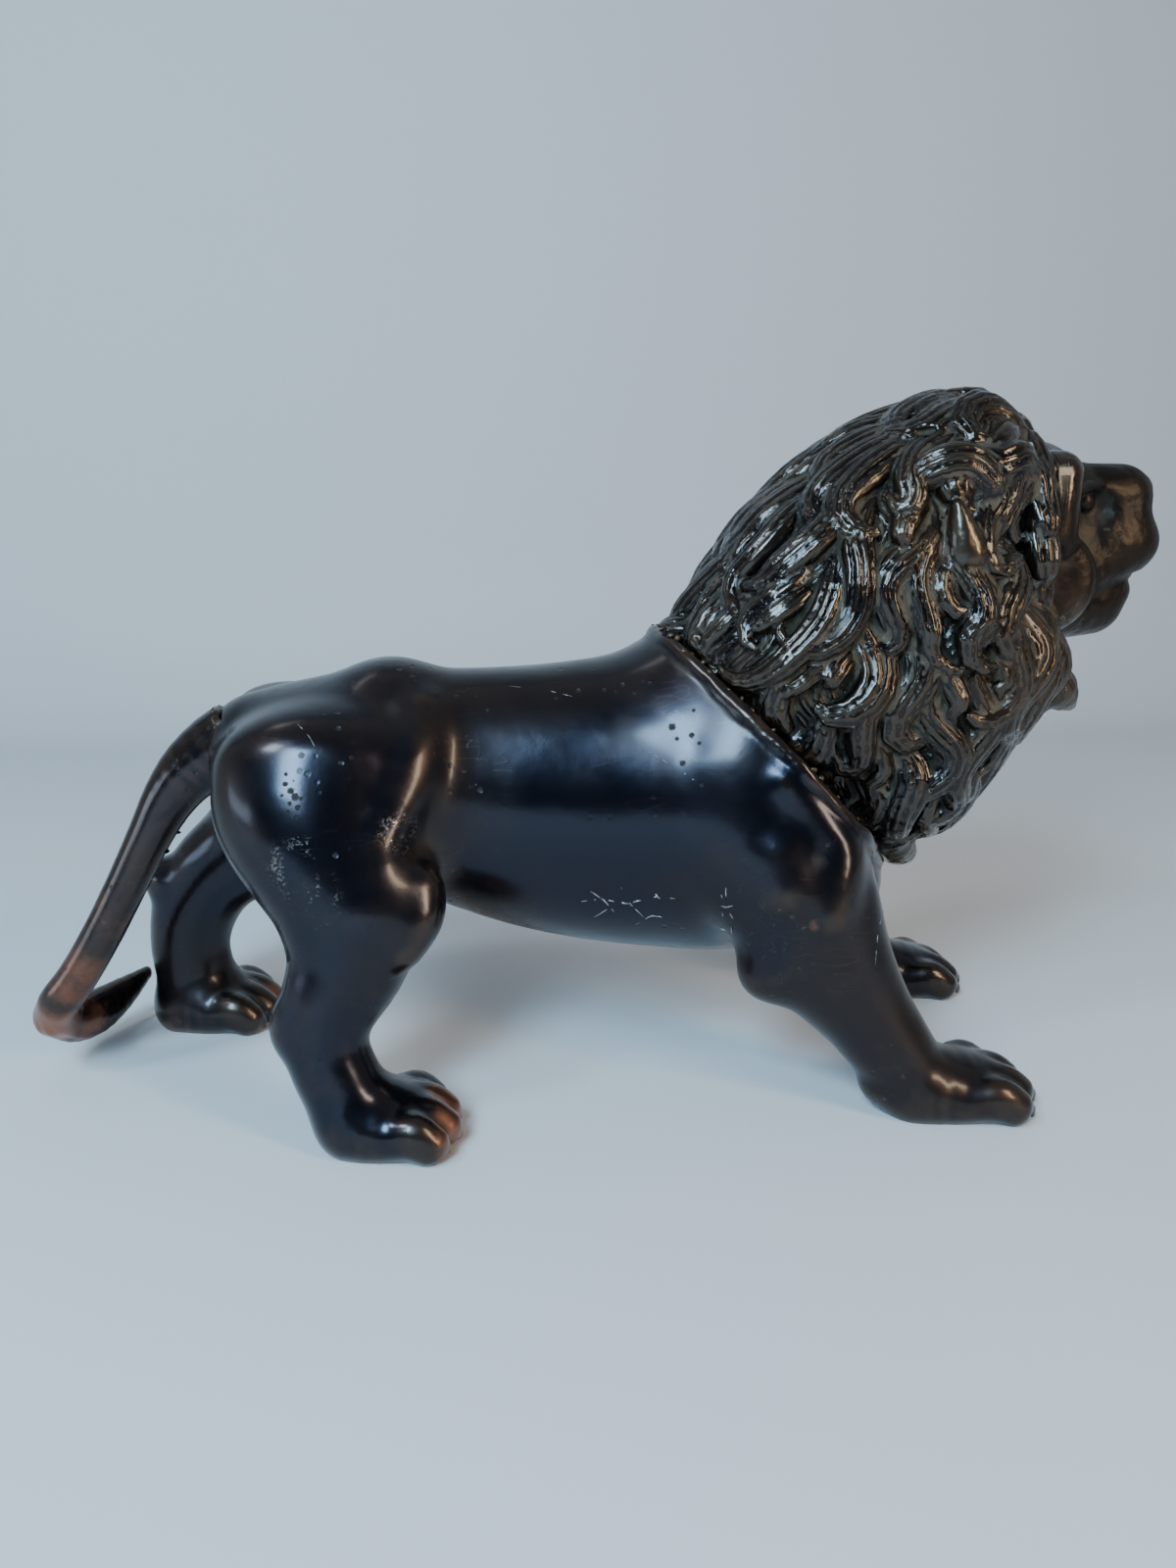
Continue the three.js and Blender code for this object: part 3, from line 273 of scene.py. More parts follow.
@dataclass
class Sweep:
    """An ellipse carried along points.

    Each point has a centre, a half width, a half depth and the direction of the width. Strands cut grooves
    along the outer side, so that the form reads as a lock of hair.
    """

    at: Rows
    side: Rows
    depth: Rows
    across: Rows
    strands: float = 0.0
    groove: float = 0.0

    def sample(self, clay: "Clay", reach: float) -> tuple[Window, Grid]:
        """Distances from the nearest stretch of the sweep."""
        window, best, _ = self.sample_grained(clay, reach)
        return window, best

    def sample_grained(self, clay: "Clay", reach: float) -> tuple[Window, Grid, Grid]:
        """Distances from the nearest stretch of the sweep, and how far across it each grid point lies.

        Args:
            clay: The clay whose grid is used.
            reach: How far beyond the sweep the samples go.

        Returns:
            The part of the grid that is touched, the distances and the places across there.
        """
        size = np.maximum(self.side, self.depth)[:, None]
        window = clay.window((self.at - size).min(0) - reach, (self.at + size).max(0) + reach)
        best = np.full([s.stop - s.start for s in window], FAR, np.float32)
        grain = np.zeros_like(best)
        for i in range(len(self.at) - 1):
            pair = slice(i, i + 2)
            low = (self.at[pair] - size[pair]).min(0) - reach
            high = (self.at[pair] + size[pair]).max(0) + reach
            inner = clay.window(low, high)
            d, u = self.stretch(clay, inner, i)
            local = tuple(slice(a.start - b.start, a.stop - b.start) for a, b in zip(inner, window))
            nearer = d < best[local]
            best[local] = np.where(nearer, d, best[local])
            grain[local] = np.where(nearer, u, grain[local])
        return window, best, grain

    def directions(self, i: int) -> tuple[float, Rows]:
        """How the stretch after a point lies.

        Args:
            i: The point.

        Returns:
            The stretch's length, and its directions along, across and up as rows.
        """
        run = self.at[i + 1] - self.at[i]
        length = max(float(np.linalg.norm(run)), 1e-6)
        along = run / length
        across = unit(self.across[i] - along * (self.across[i] @ along))
        return length, np.array([along, across, np.cross(along, across)])

    def from_stretch(self, i: int, length: float, far: Grid, u: Grid, v: Grid) -> tuple[Grid, Grid, Grid]:
        """Distances from one smooth stretch.

        Args:
            i: The stretch's first point.
            length: The stretch's length.
            far: Places along it.
            u: Places across it.
            v: Places above it.

        Returns:
            The distances, and the half width and the half depth at each place.
        """
        t = np.clip(far / length, 0, 1)
        side = self.side[i] + (self.side[i + 1] - self.side[i]) * t
        depth = self.depth[i] + (self.depth[i + 1] - self.depth[i]) * t
        return round_distance(u, v, far - t * length, side, depth, np.minimum(side, depth)), side, depth

    def smooth_distance(self, p: Rows) -> Rows:
        """Distances of loose points from the sweep, without its strands.

        Args:
            p: Rows of points.

        Returns:
            A distance for each point.
        """
        best = np.full(len(p), FAR)
        for i in range(len(self.at) - 1):
            length, (along, across, up) = self.directions(i)
            off = p - self.at[i]
            best = np.minimum(best, self.from_stretch(i, length, off @ along, off @ across, off @ up)[0])
        return best

    def stretch(self, clay: "Clay", window: Window, i: int) -> tuple[Grid, Grid]:
        """Distances from the stretch between point i and the next, and places across it.

        Args:
            clay: The clay whose grid is used.
            window: The part of the grid.
            i: The stretch's first point.

        Returns:
            Distances, and places across it.
        """
        length, ways = self.directions(i)
        x, y, z = clay.offsets(window, self.at[i])
        far, u, v = (x * way[0] + y * way[1] + z * way[2] for way in ways)
        d, side, depth = self.from_stretch(i, length, far, u, v)
        if self.strands:
            place = np.clip(u / side, -1, 1) + 1
            ridge = np.abs(np.sin(place * (math.pi * self.strands / 2)))
            d = d + self.groove * (1 - ridge ** 0.8) * np.clip(v / depth + 0.4, 0, 1)
        return d, u


def enlarge(values: Grid, count: Sequence[int]) -> Grid:
    """Grid values brought to a grid of half the cell, between the old ones in a straight line."""
    for axis in range(3):
        place = np.arange(count[axis]) / 2
        first = np.minimum(place.astype(int), values.shape[axis] - 2)
        t = (place - first).reshape([-1 if k == axis else 1 for k in range(3)]).astype(np.float32)
        values = np.take(values, first, axis) * (1 - t) + np.take(values, first + 1, axis) * t
    return values


def limb(stations: Sequence[Station], across: Triple = (0, 1, 0), steps: int = 3, strands: float = 0.0,
         groove: float = 0.0) -> Sweep:
    """A limb through its stations, its width across the lion.

    Args:
        stations: Rows of centre, half width across and half depth.
        across: The direction of the width.
        steps: How many points to make for each stretch between stations.
        strands: How many strands it is combed into.
        groove: How deep the grooves between the strands are.

    Returns:
        The limb.
    """
    count = (len(stations) - 1) * steps
    rows = np.array([spline(stations, i / count) for i in range(count + 1)])
    ways = np.tile(np.array(across, float), (len(rows), 1))
    return Sweep(rows[:, :3], rows[:, 3], rows[:, 4], ways, strands, groove)


CORNERS = [(c & 1, (c >> 1) & 1, c >> 2) for c in range(8)]
CELL_EDGES = [(a, a | (1 << axis), axis) for a in range(8) for axis in range(3) if not a & (1 << axis)]


def clean_cells() -> Rows:
    """For each pattern of inside corners, whether inside and outside are each in one piece."""
    clean = np.zeros(256, bool)
    for mask in range(256):
        piece = list(range(8))
        for a, b, _ in CELL_EDGES * 7:
            if (mask >> a ^ mask >> b) & 1 == 0:
                piece[a] = piece[b] = min(piece[a], piece[b])
        clean[mask] = len(set(piece)) <= 2
    return clean


class Clay:
    """The soft solid: field values on a regular grid, negative inside."""

    CLEAN = clean_cells()
    ROUNDS = 12

    def __init__(self, low: Triple, high: Triple, cell: float) -> None:
        """Makes an empty grid over a box.

        Args:
            low: The box's lowest corner.
            high: The box's highest corner.
            cell: The grid's cell.
        """
        self.cell = cell
        self.low = np.array(low, float)
        self.count = np.ceil((np.array(high) - self.low) / cell).astype(int) + 1
        self.values = np.full(self.count, FAR, np.float32)
        self.grain = np.zeros(self.count, np.float32)
        self.axes = [(self.low[k] + cell * np.arange(self.count[k])).astype(np.float32) for k in range(3)]

    def window(self, low: Rows, high: Rows) -> Window:
        """The slices of the grid that cover a box.

        Args:
            low: The box's lowest corner.
            high: The box's highest corner.

        Returns:
            The slices.
        """
        first = np.clip(np.floor((low - self.low) / self.cell).astype(int), 0, self.count - 1)
        last = np.clip(np.ceil((high - self.low) / self.cell).astype(int) + 1, first + 1, self.count)
        return tuple(slice(int(a), int(b)) for a, b in zip(first, last))

    def offsets(self, window: Window, centre: Rows) -> tuple[Grid, Grid, Grid]:
        """Coordinates of a window's grid points from a centre, ready to broadcast."""
        x, y, z = (self.axes[k][window[k]] - np.float32(centre[k]) for k in range(3))
        return x[:, None, None], y[None, :, None], z[None, None, :]

    def add(self, form: Lump | Sweep, blend: float = 0.0) -> None:
        """Joins a form on, with a fillet."""
        window, d = form.sample(self, blend + 2.5 * self.cell)
        self.values[window] = blend_min(self.values[window], d, blend)

    def lay(self, lock: Sweep, blend: float) -> None:
        """Joins a lock of hair on, and keeps the run of its hairs.

        Args:
            lock: The lock.
            blend: The fillet that joins it on.
        """
        window, d, grain = lock.sample_grained(self, blend + 2.5 * self.cell)
        self.grain[window] = np.where(d < self.values[window], grain, self.grain[window])
        self.values[window] = blend_min(self.values[window], d, blend)

    def read(self, field: Grid, points: Rows) -> Rows:
        """What a field over the grid says at loose points, between grid points in a straight line.

        Args:
            field: Values on the grid.
            points: Rows of points.

        Returns:
            The value at each point.
        """
        place = (points - self.low) / self.cell
        first = np.clip(np.floor(place).astype(int), 0, self.count - 2)
        t = place - first
        total = np.zeros(len(points))
        for bits in map(np.array, CORNERS):
            total += field[tuple((first + bits).T)] * np.prod(np.where(bits, t, 1 - t), axis=1)
        return total

    def carve(self, form: Lump | Sweep, blend: float = 0.0) -> None:
        """Cuts a form out, with a fillet."""
        window, d = form.sample(self, blend + 2 * self.cell)
        self.values[window] = -blend_min(-self.values[window], d, blend)

    def press(self, swell: Swell) -> None:
        """Joins a swelling on."""
        self.add(Ellipsoid(swell.centre, swell.radii), blend=swell.fillet)

    def dent(self, swell: Swell) -> None:
        """Cuts a swelling out."""
        self.carve(Ellipsoid(swell.centre, swell.radii), blend=swell.fillet)

    def soften(self, width: float) -> None:
        """Rounds creases by averaging the field over about that width.

        Args:
            width: The width.
        """
        reach = max(int(round(width / self.cell / 2)), 1)
        v = np.clip(self.values, -1.7 * width, 1.7 * width)
        for axis in range(3):
            for _ in range(2):
                pad = [(0, 0)] * 3
                pad[axis] = (reach + 1, reach)
                total = np.cumsum(np.pad(v, pad, mode="edge"), axis=axis, dtype=np.float64)
                n = v.shape[axis]
                ahead = np.take(total, range(2 * reach + 1, 2 * reach + 1 + n), axis=axis)
                behind = np.take(total, range(0, n), axis=axis)
                v = ((ahead - behind) / (2 * reach + 1)).astype(np.float32)
        self.values = v

    def first_hit(self, start: Rows, ray: Rows) -> Rows | None:
        """Where a ray first meets the solid.

        Args:
            start: The ray's start.
            ray: Its direction, of length 1.

        Returns:
            The point, or None if the ray misses.
        """
        far = np.arange(SIGHT_NEAREST, SIGHT_FARTHEST, self.cell / 2)
        points = start + far[:, None] * ray
        place = np.round((points - self.low) / self.cell).astype(int)
        inside_grid = np.all((place >= 0) & (place < self.count), axis=1)
        points, place = points[inside_grid], place[inside_grid]
        hits = np.flatnonzero(self.values[tuple(place.T)] < 0)
        return points[hits[0]] if len(hits) else None

    def corner(self, source: Rows, c: int) -> Rows:
        """A view of the grid at one corner of every cell."""
        return source[tuple(slice(b, n - 1 + b) for b, n in zip(CORNERS[c], self.count))]

    def patterns(self) -> Rows:
        """The pattern of inside corners of each cell."""
        inside = (self.values < 0).astype(np.uint8)
        bits = np.zeros(self.count - 1, np.uint8)
        for c in range(8):
            bits |= self.corner(inside, c) << c
        return bits

    def settle(self) -> Rows:
        """Fills a corner of each cell in which two sheets of the surface would touch."""
        for _ in range(self.ROUNDS):
            bits = self.patterns()
            bad = np.argwhere(~self.CLEAN[bits])
            if len(bad) == 0:
                break
            for cell in bad:
                places = [tuple(cell + step) for step in CORNERS]
                mask = sum(1 << c for c in range(8) if self.values[places[c]] < 0)
                if self.CLEAN[mask]:
                    continue
                outside = sorted((c for c in range(8) if not mask >> c & 1), key=lambda c: self.values[places[c]])
                pick = next((c for c in outside if self.CLEAN[mask | 1 << c]), outside[0])
                self.values[places[pick]] = -1e-3
        return bits

    def surface(self) -> tuple[Rows, Rows]:
        """The closed surface, with one vertex in each cell that it crosses.

        Returns:
            Points, and triangles as rows of three point numbers.
        """
        bits = self.settle()
        cells = np.argwhere((bits > 0) & (bits < 255))
        values = [self.values[tuple((cells + step).T)] for step in CORNERS]
        total = np.zeros((len(cells), 3))
        hits = np.zeros(len(cells))
        for a, b, axis in CELL_EDGES:
            crossed = (values[a] < 0) != (values[b] < 0)
            t = np.where(crossed, values[a] / np.where(crossed, values[a] - values[b], 1), 0)
            point = np.tile(np.array(CORNERS[a], float), (len(cells), 1))
            point[:, axis] += t
            total += point * crossed[:, None]
            hits += crossed
        points = self.low + (cells + total / hits[:, None]) * self.cell
        ids = np.full(self.count, -1, np.int32)
        ids[tuple(cells.T)] = np.arange(len(cells))
        return points, self.faces(ids, points)

    def faces(self, ids: Rows, points: Rows) -> Rows:
        """Two triangles for each grid edge that the surface crosses, split along the shorter diagonal.

        Args:
            ids: The point number of each cell.
            points: The points.

        Returns:
            Triangles of point numbers.
        """
        inside = self.values < 0
        faces = []
        for axis in range(3):
            here = [slice(1, n - 1) for n in self.count]
            ahead = list(here)
            ahead[axis] = slice(2, self.count[axis])
            crossed = np.argwhere(inside[tuple(here)] != inside[tuple(ahead)]) + 1
            step = np.eye(3, dtype=int)
            p, q = step[(axis + 1) % 3], step[(axis + 2) % 3]
            ring = np.stack([ids[tuple((crossed - o).T)] for o in (p + q, q, 0 * p, p)], axis=1)
            flip = ~inside[tuple(crossed.T)]
            ring[flip] = ring[flip][:, ::-1]
            a, b, c, d = (points[ring[:, k]] for k in range(4))
            first = np.linalg.norm(a - c, axis=1) <= np.linalg.norm(b - d, axis=1)
            faces += [ring[first][:, [0, 1, 2]], ring[first][:, [0, 2, 3]]]
            faces += [ring[~first][:, [0, 1, 3]], ring[~first][:, [1, 2, 3]]]
        return np.concatenate(faces)


@dataclass(frozen=True)
class Sight:
    """The photograph's camera, in the lion's axes."""

    place: Triple = (-69.4, -284.0, 148.0)
    turn: float = math.radians(8)
    pitch: float = math.radians(13.706)
    roll: float = math.radians(0.595)
    focal: float = 1150.0
    width: int = 1200
    height: int = 1600
    sensor: float = 36.0

    def axes(self) -> tuple[Rows, Rows, Rows]:
        """The camera's right, down and forward directions."""
        c, s = math.cos(self.turn), math.sin(self.turn)
        level = np.array([s, c, 0.0])
        forward = level * math.cos(self.pitch) - np.array([0, 0, math.sin(self.pitch)])
        right = np.array([c, -s, 0.0])
        down = np.cross(forward, right)
        rolled_right = math.cos(self.roll) * right - math.sin(self.roll) * down
        rolled_down = math.sin(self.roll) * right + math.cos(self.roll) * down
        return rolled_right, rolled_down, forward

    def ray(self, px: float, py: float) -> Rows:
        """The direction that a pixel of the photograph looks in."""
        right, down, forward = self.axes()
        return unit(forward * self.focal + right * (px - self.width / 2) + down * (py - self.height / 2))

    def point(self, clay: Clay, px: float, py: float) -> Rows | None:
        """Where a pixel of the photograph meets the clay."""
        return clay.first_hit(np.array(self.place), self.ray(px, py))


SIGHT = Sight()


def linked(name: str, data: bpy.types.ID) -> Piece:
    """A new object in the scene, at the origin.

    Args:
        name: Its name.
        data: Its mesh or light.

    Returns:
        The object.
    """
    made = bpy.data.objects.new(name, data)
    bpy.context.scene.collection.objects.link(made)
    return made


def mesh_object(name: str, points: Rows, faces: Rows) -> Piece:
    """A mesh object from points in millimetres in the lion's axes, linked to the scene in metres.

    Args:
        name: The object's name.
        points: Rows of points.
        faces: Triangles of point numbers.

    Returns:
        The object.
    """
    mesh = bpy.data.meshes.new(name)
    mesh.vertices.add(len(points))
    mesh.vertices.foreach_set("co", to_frame(points).astype(np.float32).ravel())
    mesh.loops.add(faces.size)
    mesh.loops.foreach_set("vertex_index", faces.astype(np.int32).ravel())
    mesh.polygons.add(len(faces))
    mesh.polygons.foreach_set("loop_start", np.arange(0, faces.size, 3, dtype=np.int32))
    mesh.update(calc_edges=True)
    mesh.validate()
    return linked(name, mesh)


def read_mesh(made: Piece) -> tuple[Rows, Rows]:
    """Points in metres and edges of an object's mesh.

    Args:
        made: The object.

    Returns:
        Rows of points, and edges as pairs of point numbers.
    """
    mesh = made.data
    points = np.empty(len(mesh.vertices) * 3, np.float32)
    mesh.vertices.foreach_get("co", points)
    edges = np.empty(len(mesh.edges) * 2, np.int32)
    mesh.edges.foreach_get("vertices", edges)
    return points.reshape(-1, 3).astype(float), edges.reshape(-1, 2)


def average_neighbours(points: Rows, edges: Rows) -> Rows:
    """For each point, the mean of the points that it shares an edge with.

    Args:
        points: Rows of points.
        edges: Pairs of point numbers.

    Returns:
        The mean points.
    """
    n = len(points)
    ends = np.concatenate([edges[:, 0], edges[:, 1]])
    others = np.concatenate([edges[:, 1], edges[:, 0]])
    count = np.maximum(np.bincount(ends, minlength=n), 1)
    return np.stack([np.bincount(ends, points[others, k], n) for k in range(3)], axis=1) / count[:, None]


def relax(points: Rows, faces: Rows, rounds: int) -> Rows:
    """Smooths away the steps of the grid and keeps the volume.

    Args:
        points: Rows of points.
        faces: Triangles of point numbers.
        rounds: How often to smooth.

    Returns:
        The moved points.
    """
    edges = np.concatenate([faces[:, [0, 1]], faces[:, [1, 2]], faces[:, [2, 0]]])
    edges = np.unique(np.sort(edges, axis=1), axis=0)
    for _ in range(rounds):
        for push in (0.5, -0.53):
            points = points + push * (average_neighbours(points, edges) - points)
    return points


def apply_modifiers(made: Piece) -> None:
    """Turns the object's modifiers into plain mesh.

    Args:
        made: The object.
    """
    graph = bpy.context.evaluated_depsgraph_get()
    mesh = bpy.data.meshes.new_from_object(made.evaluated_get(graph), depsgraph=graph)
    made.modifiers.clear()
    made.data = mesh
    mesh.name = made.name


def thin(made: Piece, limit: int) -> None:
    """Brings an object under a number of triangles.

    Args:
        made: The object.
        limit: The most triangles it may have.
    """
    count = len(made.data.polygons)
    if count > limit:
        made.modifiers.new("thin", "DECIMATE").ratio = limit / count
        apply_modifiers(made)


def cut_flat(made: Piece, normal: Rows, offset: float) -> None:
    """Cuts off what lies on the side of a plane that its normal points to, and closes the cut.

    Args:
        made: The object.
        normal: The plane's normal.
        offset: How far the plane lies along the normal, in millimetres from the middle of the lion's axes.
    """
    direction = Vector(normal)
    centre = direction * (offset * MM) + Vector((FORWARD_OF_ORIGIN * MM, 0, 0))
    bm = bmesh.new()
    bm.from_mesh(made.data)
    geometry = bm.verts[:] + bm.edges[:] + bm.faces[:]
    cut = bmesh.ops.bisect_plane(bm, geom=geometry, dist=1e-7, plane_co=centre, plane_no=direction, clear_outer=True)
    rim = [e for e in cut["geom_cut"] if isinstance(e, bmesh.types.BMEdge) and e.is_boundary]
    bmesh.ops.triangle_fill(bm, use_beauty=True, edges=rim, normal=direction)
    for edge in rim:
        edge.smooth = False
    bm.to_mesh(made.data)
    bm.free()


def store(made: Piece, name: str, values: Rows) -> None:
    """Keeps one number for each vertex on the mesh, for the finish to read."""
    layer = made.data.attributes.new(name, "FLOAT", "POINT")
    layer.data.foreach_set("value", values.astype(np.float32))


@dataclass(frozen=True)
class Rub:
    """A place where hands and surfaces have worn the patina off."""

    centre: Triple
    radius: float
    strength: float = 1.0


def rubbed(points: Rows, rubs: Sequence[Rub]) -> Rows:
    """How strongly each point, in metres in the frame, lies within the rubbed places.

    Args:
        points: Rows of points.
        rubs: The rubbed places.

    Returns:
        A number from 0 to 1 for each point.
    """
    worn = np.zeros(len(points))
    for rub in rubs:
        far = np.linalg.norm(points - to_frame(np.array(rub.centre)), axis=1) / (rub.radius * MM)
        worn = np.maximum(worn, rub.strength * (1 - smoothstep(0.35, 1.0, far)))
    return worn


def mark_relief(made: Piece, fine: float, broad: float, rubs: Sequence[Rub]) -> None:
    """Stores how far each vertex stands out of its surroundings, and how much it is rubbed.

    Args:
        made: The casting.
        fine: The height in millimetres that counts as a full ridge or hollow among near neighbours.
        broad: The same among wider surroundings.
        rubs: The worn places.
    """
    points, edges = read_mesh(made)
    normals = np.empty(len(points) * 3, np.float32)
    made.data.vertices.foreach_get("normal", normals)
    normals = normals.reshape(-1, 3)
    smooth = points
    for round_number in range(1, WIDE_ROUNDS + 1):
        smooth = average_neighbours(smooth, edges)
        if round_number == NEAR_ROUNDS:
            near = np.sum((points - smooth) * normals, axis=1)
    wide = np.sum((points - smooth) * normals, axis=1)
    store(made, "relief", np.clip(near / (fine * MM), -1, 1))
    store(made, "hollow", np.clip(wide / (broad * MM), -1, 1))
    store(made, "rub", rubbed(points, rubs))


def pace(cell: float) -> float:
    """The grid cell to use."""
    return cell


@dataclass(frozen=True)
class Paw:
    """A paw: where its heel stands, its side and its length to the toe tips."""

    heel: float
    y: float
    length: float

    TOES = ((-10.4, 0.9), (-3.6, 1.0), (3.6, 1.0), (10.4, 0.9))
    PAD = ((0.2, 5.6, 10.6, 8.6), (0.42, 5.8, 12.8, 9.4), (0.63, 5, 13.2, 8.2))
    TOE = ((0.42, 0.82, 5.6, 4, 4.2), (0.25, 1, 6.9, 4.4, 5.3), (0.13, 1.04, 4.3, 4.3, 5))
    CLAW = ((2.6, 5.8, 1.3, 1.2), (0.4, 3.8, 1.1, 1.1), (0.2, 1.6, 0.6, 0.7))

    def press(self, clay: Clay) -> None:
        """Works the pad, the toes and their claws into the clay.

        Args:
            clay: The clay to work in.
        """
        pad = [(self.heel + share * self.length, self.y, *rest) for share, *rest in self.PAD]
        clay.add(limb(pad), blend=5)
        for spread, reach in self.TOES:
            tip = self.heel + reach * self.length
            clay.add(limb([(tip - behind * self.length, self.y + out * spread, *rest)
                           for behind, out, *rest in self.TOE], steps=5), blend=1.8)
        for spread, reach in self.TOES:
            tip = self.heel + reach * self.length
            clay.add(limb([(tip - behind, self.y + 1.05 * spread, *rest) for behind, *rest in self.CLAW]), blend=0.8)


@dataclass
class BodyCasting:
    """The torso and the four legs, one casting."""

    cell: float = 0.8
    limit: int = 196_000
    box: tuple[Triple, Triple] = ((-162, -58, -8), (106, 58, 146))
    torso: Stations = (
        (-111, 0, 89, 15, 14.5), (-100, 0, 85, 22, 21), (-82, 0, 83, 25, 26), (-60, 0, 78, 25, 31),
        (-38, 0, 74.5, 28, 35.5), (-16, 0, 73.5, 31, 39), (6, 0, 74, 33, 41), (22, 0, 71, 30, 36),
        (31, 0, 66, 24, 27))
    neck: Stations = ((1, 0, 72, 31, 36), (12, 0, 83.5, 32, 39.5), (20, 0, 91.5, 32.5, 41))
    trunk_swells: tuple[Swell, ...] = (
        Swell((36, 0, 47.5), (12, 21, 17), 8), Swell((-79.5, 0, 101.3), (12, 13, 10), 6),
        Swell((-96, -19, 77), (24, 15, 20), 14), Swell((-100, 19, 77), (24, 15, 20), 14),
        Swell((12, -23, 76), (20, 14.5, 30), 9), Swell((16, 23, 76), (20, 14.5, 30), 9))
    leg_swells: tuple[Swell, ...] = (
        Swell((-79.5, -30, 57), (11.2, 9.5, 10), 8), Swell((-104, -33, 29), (5, 5.5, 7), 4),
        Swell((-146, 34, 45), (5.5, 5.5, 6), 4), Swell((12, -32, 36.8), (7.8, 6.5, 7.2), 7),
        Swell((20, 32, 37.5), (8.5, 6.5, 7.5), 5), Swell((41, -STANCE, 7.5), (5.5, 6.5, 5), 3),
        Swell((57, STANCE, 7.5), (5.5, 6.5, 5), 3))
    ridges: tuple[tuple[Triple, ...], ...] = (
        ((806, 796, 3.5), (834, 836, 4.5), (854, 868, 5.0), (852, 900, 4.5), (846, 932, 3.5)),
        ((796, 874, 6.0), (800, 906, 6.5)),
        ((432, 730, 4.0), (424, 770, 5.0), (408, 815, 4.6), (388, 860, 3.6)),
        ((436, 905, 3.0), (431, 938, 3.6), (415, 970, 3.0)))
    ridge_lift: float = 1.3
    chest_round: float = 9.0
    chest_heights: tuple[float, float] = (60.0, 72.0)
    near_hind: Stations = (
        (-97, -19, 88, 13, 22), (-97, -24, 73, 14, 19.5), (-91, -28, 60, 13, 17.5), (-90, -31, 46, 11, 14.5),
        (-95, -33.5, 34, 9.5, 11.5), (-96, -35, 25, 9, 10), (-92, -36.5, 14, 9.5, 9.8), (-87, -STANCE, 7, 10, 8))
    far_hind: Stations = (
        (-101, 19, 88, 13, 22), (-108, 25, 72, 14, 20), (-118, 30, 58, 12.5, 15.5), (-131, 33, 47, 10.5, 13),
        (-138, 35, 36, 9.5, 12), (-140.5, 36, 24, 9, 11), (-139, STANCE, 12, 10, 11))
    near_fore: Stations = (
        (10, -22, 88, 12, 20), (14, -27, 70, 14, 21), (20, -31, 54, 13.5, 19), (27, -33.5, 40, 12, 15.5),
        (36, -35, 27, 10.5, 12), (44, -36.5, 16, 10, 10.5), (51, -STANCE, 8, 10.5, 8.5))
    far_fore: Stations = (
        (15, 22, 88, 12, 20), (22, 27, 70, 14, 20.5), (30, 31, 54, 13, 18), (39, 33.5, 40, 11.5, 14.5),
        (50, 35, 27, 10.5, 11.5), (59, 36.5, 16, 10, 10.5), (66, STANCE, 8, 10.5, 8.5))
    paws: tuple[Paw, ...] = (
        Paw(-97, -STANCE, 32), Paw(-150, STANCE, 34), Paw(41, -STANCE, 40), Paw(56, STANCE, 40))
    pits: tuple[Triple, ...] = (
        (686, 742, 1.0), (691, 754, 0.6), (706, 751, 0.9), (714, 759, 0.7), (698, 768, 0.6), (697, 779, 0.9),
        (713, 731, 0.6), (708, 725, 0.5), (291, 800, 0.7), (297, 807, 0.9), (301, 813, 1.0), (296, 820, 0.7),
        (304, 824, 0.7), (292, 790, 0.5), (300, 797, 0.5), (307, 815, 0.5), (288, 812, 0.5), (302, 834, 0.6),
        (294, 829, 0.5), (716, 801, 0.6), (640, 754, 0.4))
    rubs: tuple[Rub, ...] = (
        Rub((-68, -STANCE, 5), 13), Rub((-66, -45, 6), 11, 0.9), Rub((-140, STANCE, 1), 18, 0.7),
        Rub((-120, STANCE, 4), 10, 0.8), Rub((78, -STANCE, 6), 10, 0.35), Rub((18.5, -44, 54), 3.2, 0.62))
    speckled: tuple[Rub, ...] = (
        Rub((-100, -38, 70), 9), Rub((-97, -38, 64), 9), Rub((-93, -37, 58), 7, 0.8), Rub((-78, -33, 76), 8, 0.6),
        Rub((19, -40, 56), 6, 0.9))

    def trunk(self) -> Clay:
        """The torso, haunches, shoulders and legs, without the paws."""
        clay = Clay(*self.box, 2 * pace(self.cell))
        clay.add(limb(self.torso, steps=9))
        clay.add(limb(self.neck), blend=10)
        for swell in self.trunk_swells:
            clay.press(swell)
        for leg in (self.near_hind, self.far_hind, self.near_fore, self.far_fore):
            clay.add(limb(leg, steps=9), blend=6)
        for swell in self.leg_swells:
            clay.press(swell)
        for ridge in self.ridges:
            self.raise_ridge(clay, ridge, self.ridge_lift)
        fine = Clay(*self.box, pace(self.cell))
        fine.values = enlarge(clay.values, fine.count)
        fine.soften(width=2.4)
        return fine

    @staticmethod
    def raise_ridge(clay: Clay, ridge: tuple[Triple, ...], lift: float) -> None:
        """Raises a soft ridge along pixels of the photograph, each with the ridge's radius there.

        Args:
            clay: The clay to work in.
            ridge: Pixels across and down, and the ridge's radius.
            lift: How far the ridge stands out.
        """
        rows = [(*(at + (size - lift) * SIGHT.ray(px, py)), size, size) for px, py, size in ridge
                if (at := SIGHT.point(clay, px, py)) is not None]
        clay.add(limb(rows, steps=6), blend=6)

    def sculpt(self) -> Clay:
        """The whole casting before its cuts."""
        clay = self.trunk()
        for paw in self.paws:
            paw.press(clay)
        self.round_chest(clay)
        clay.add(self.neck_rim(clay), blend=1.0)
        return clay

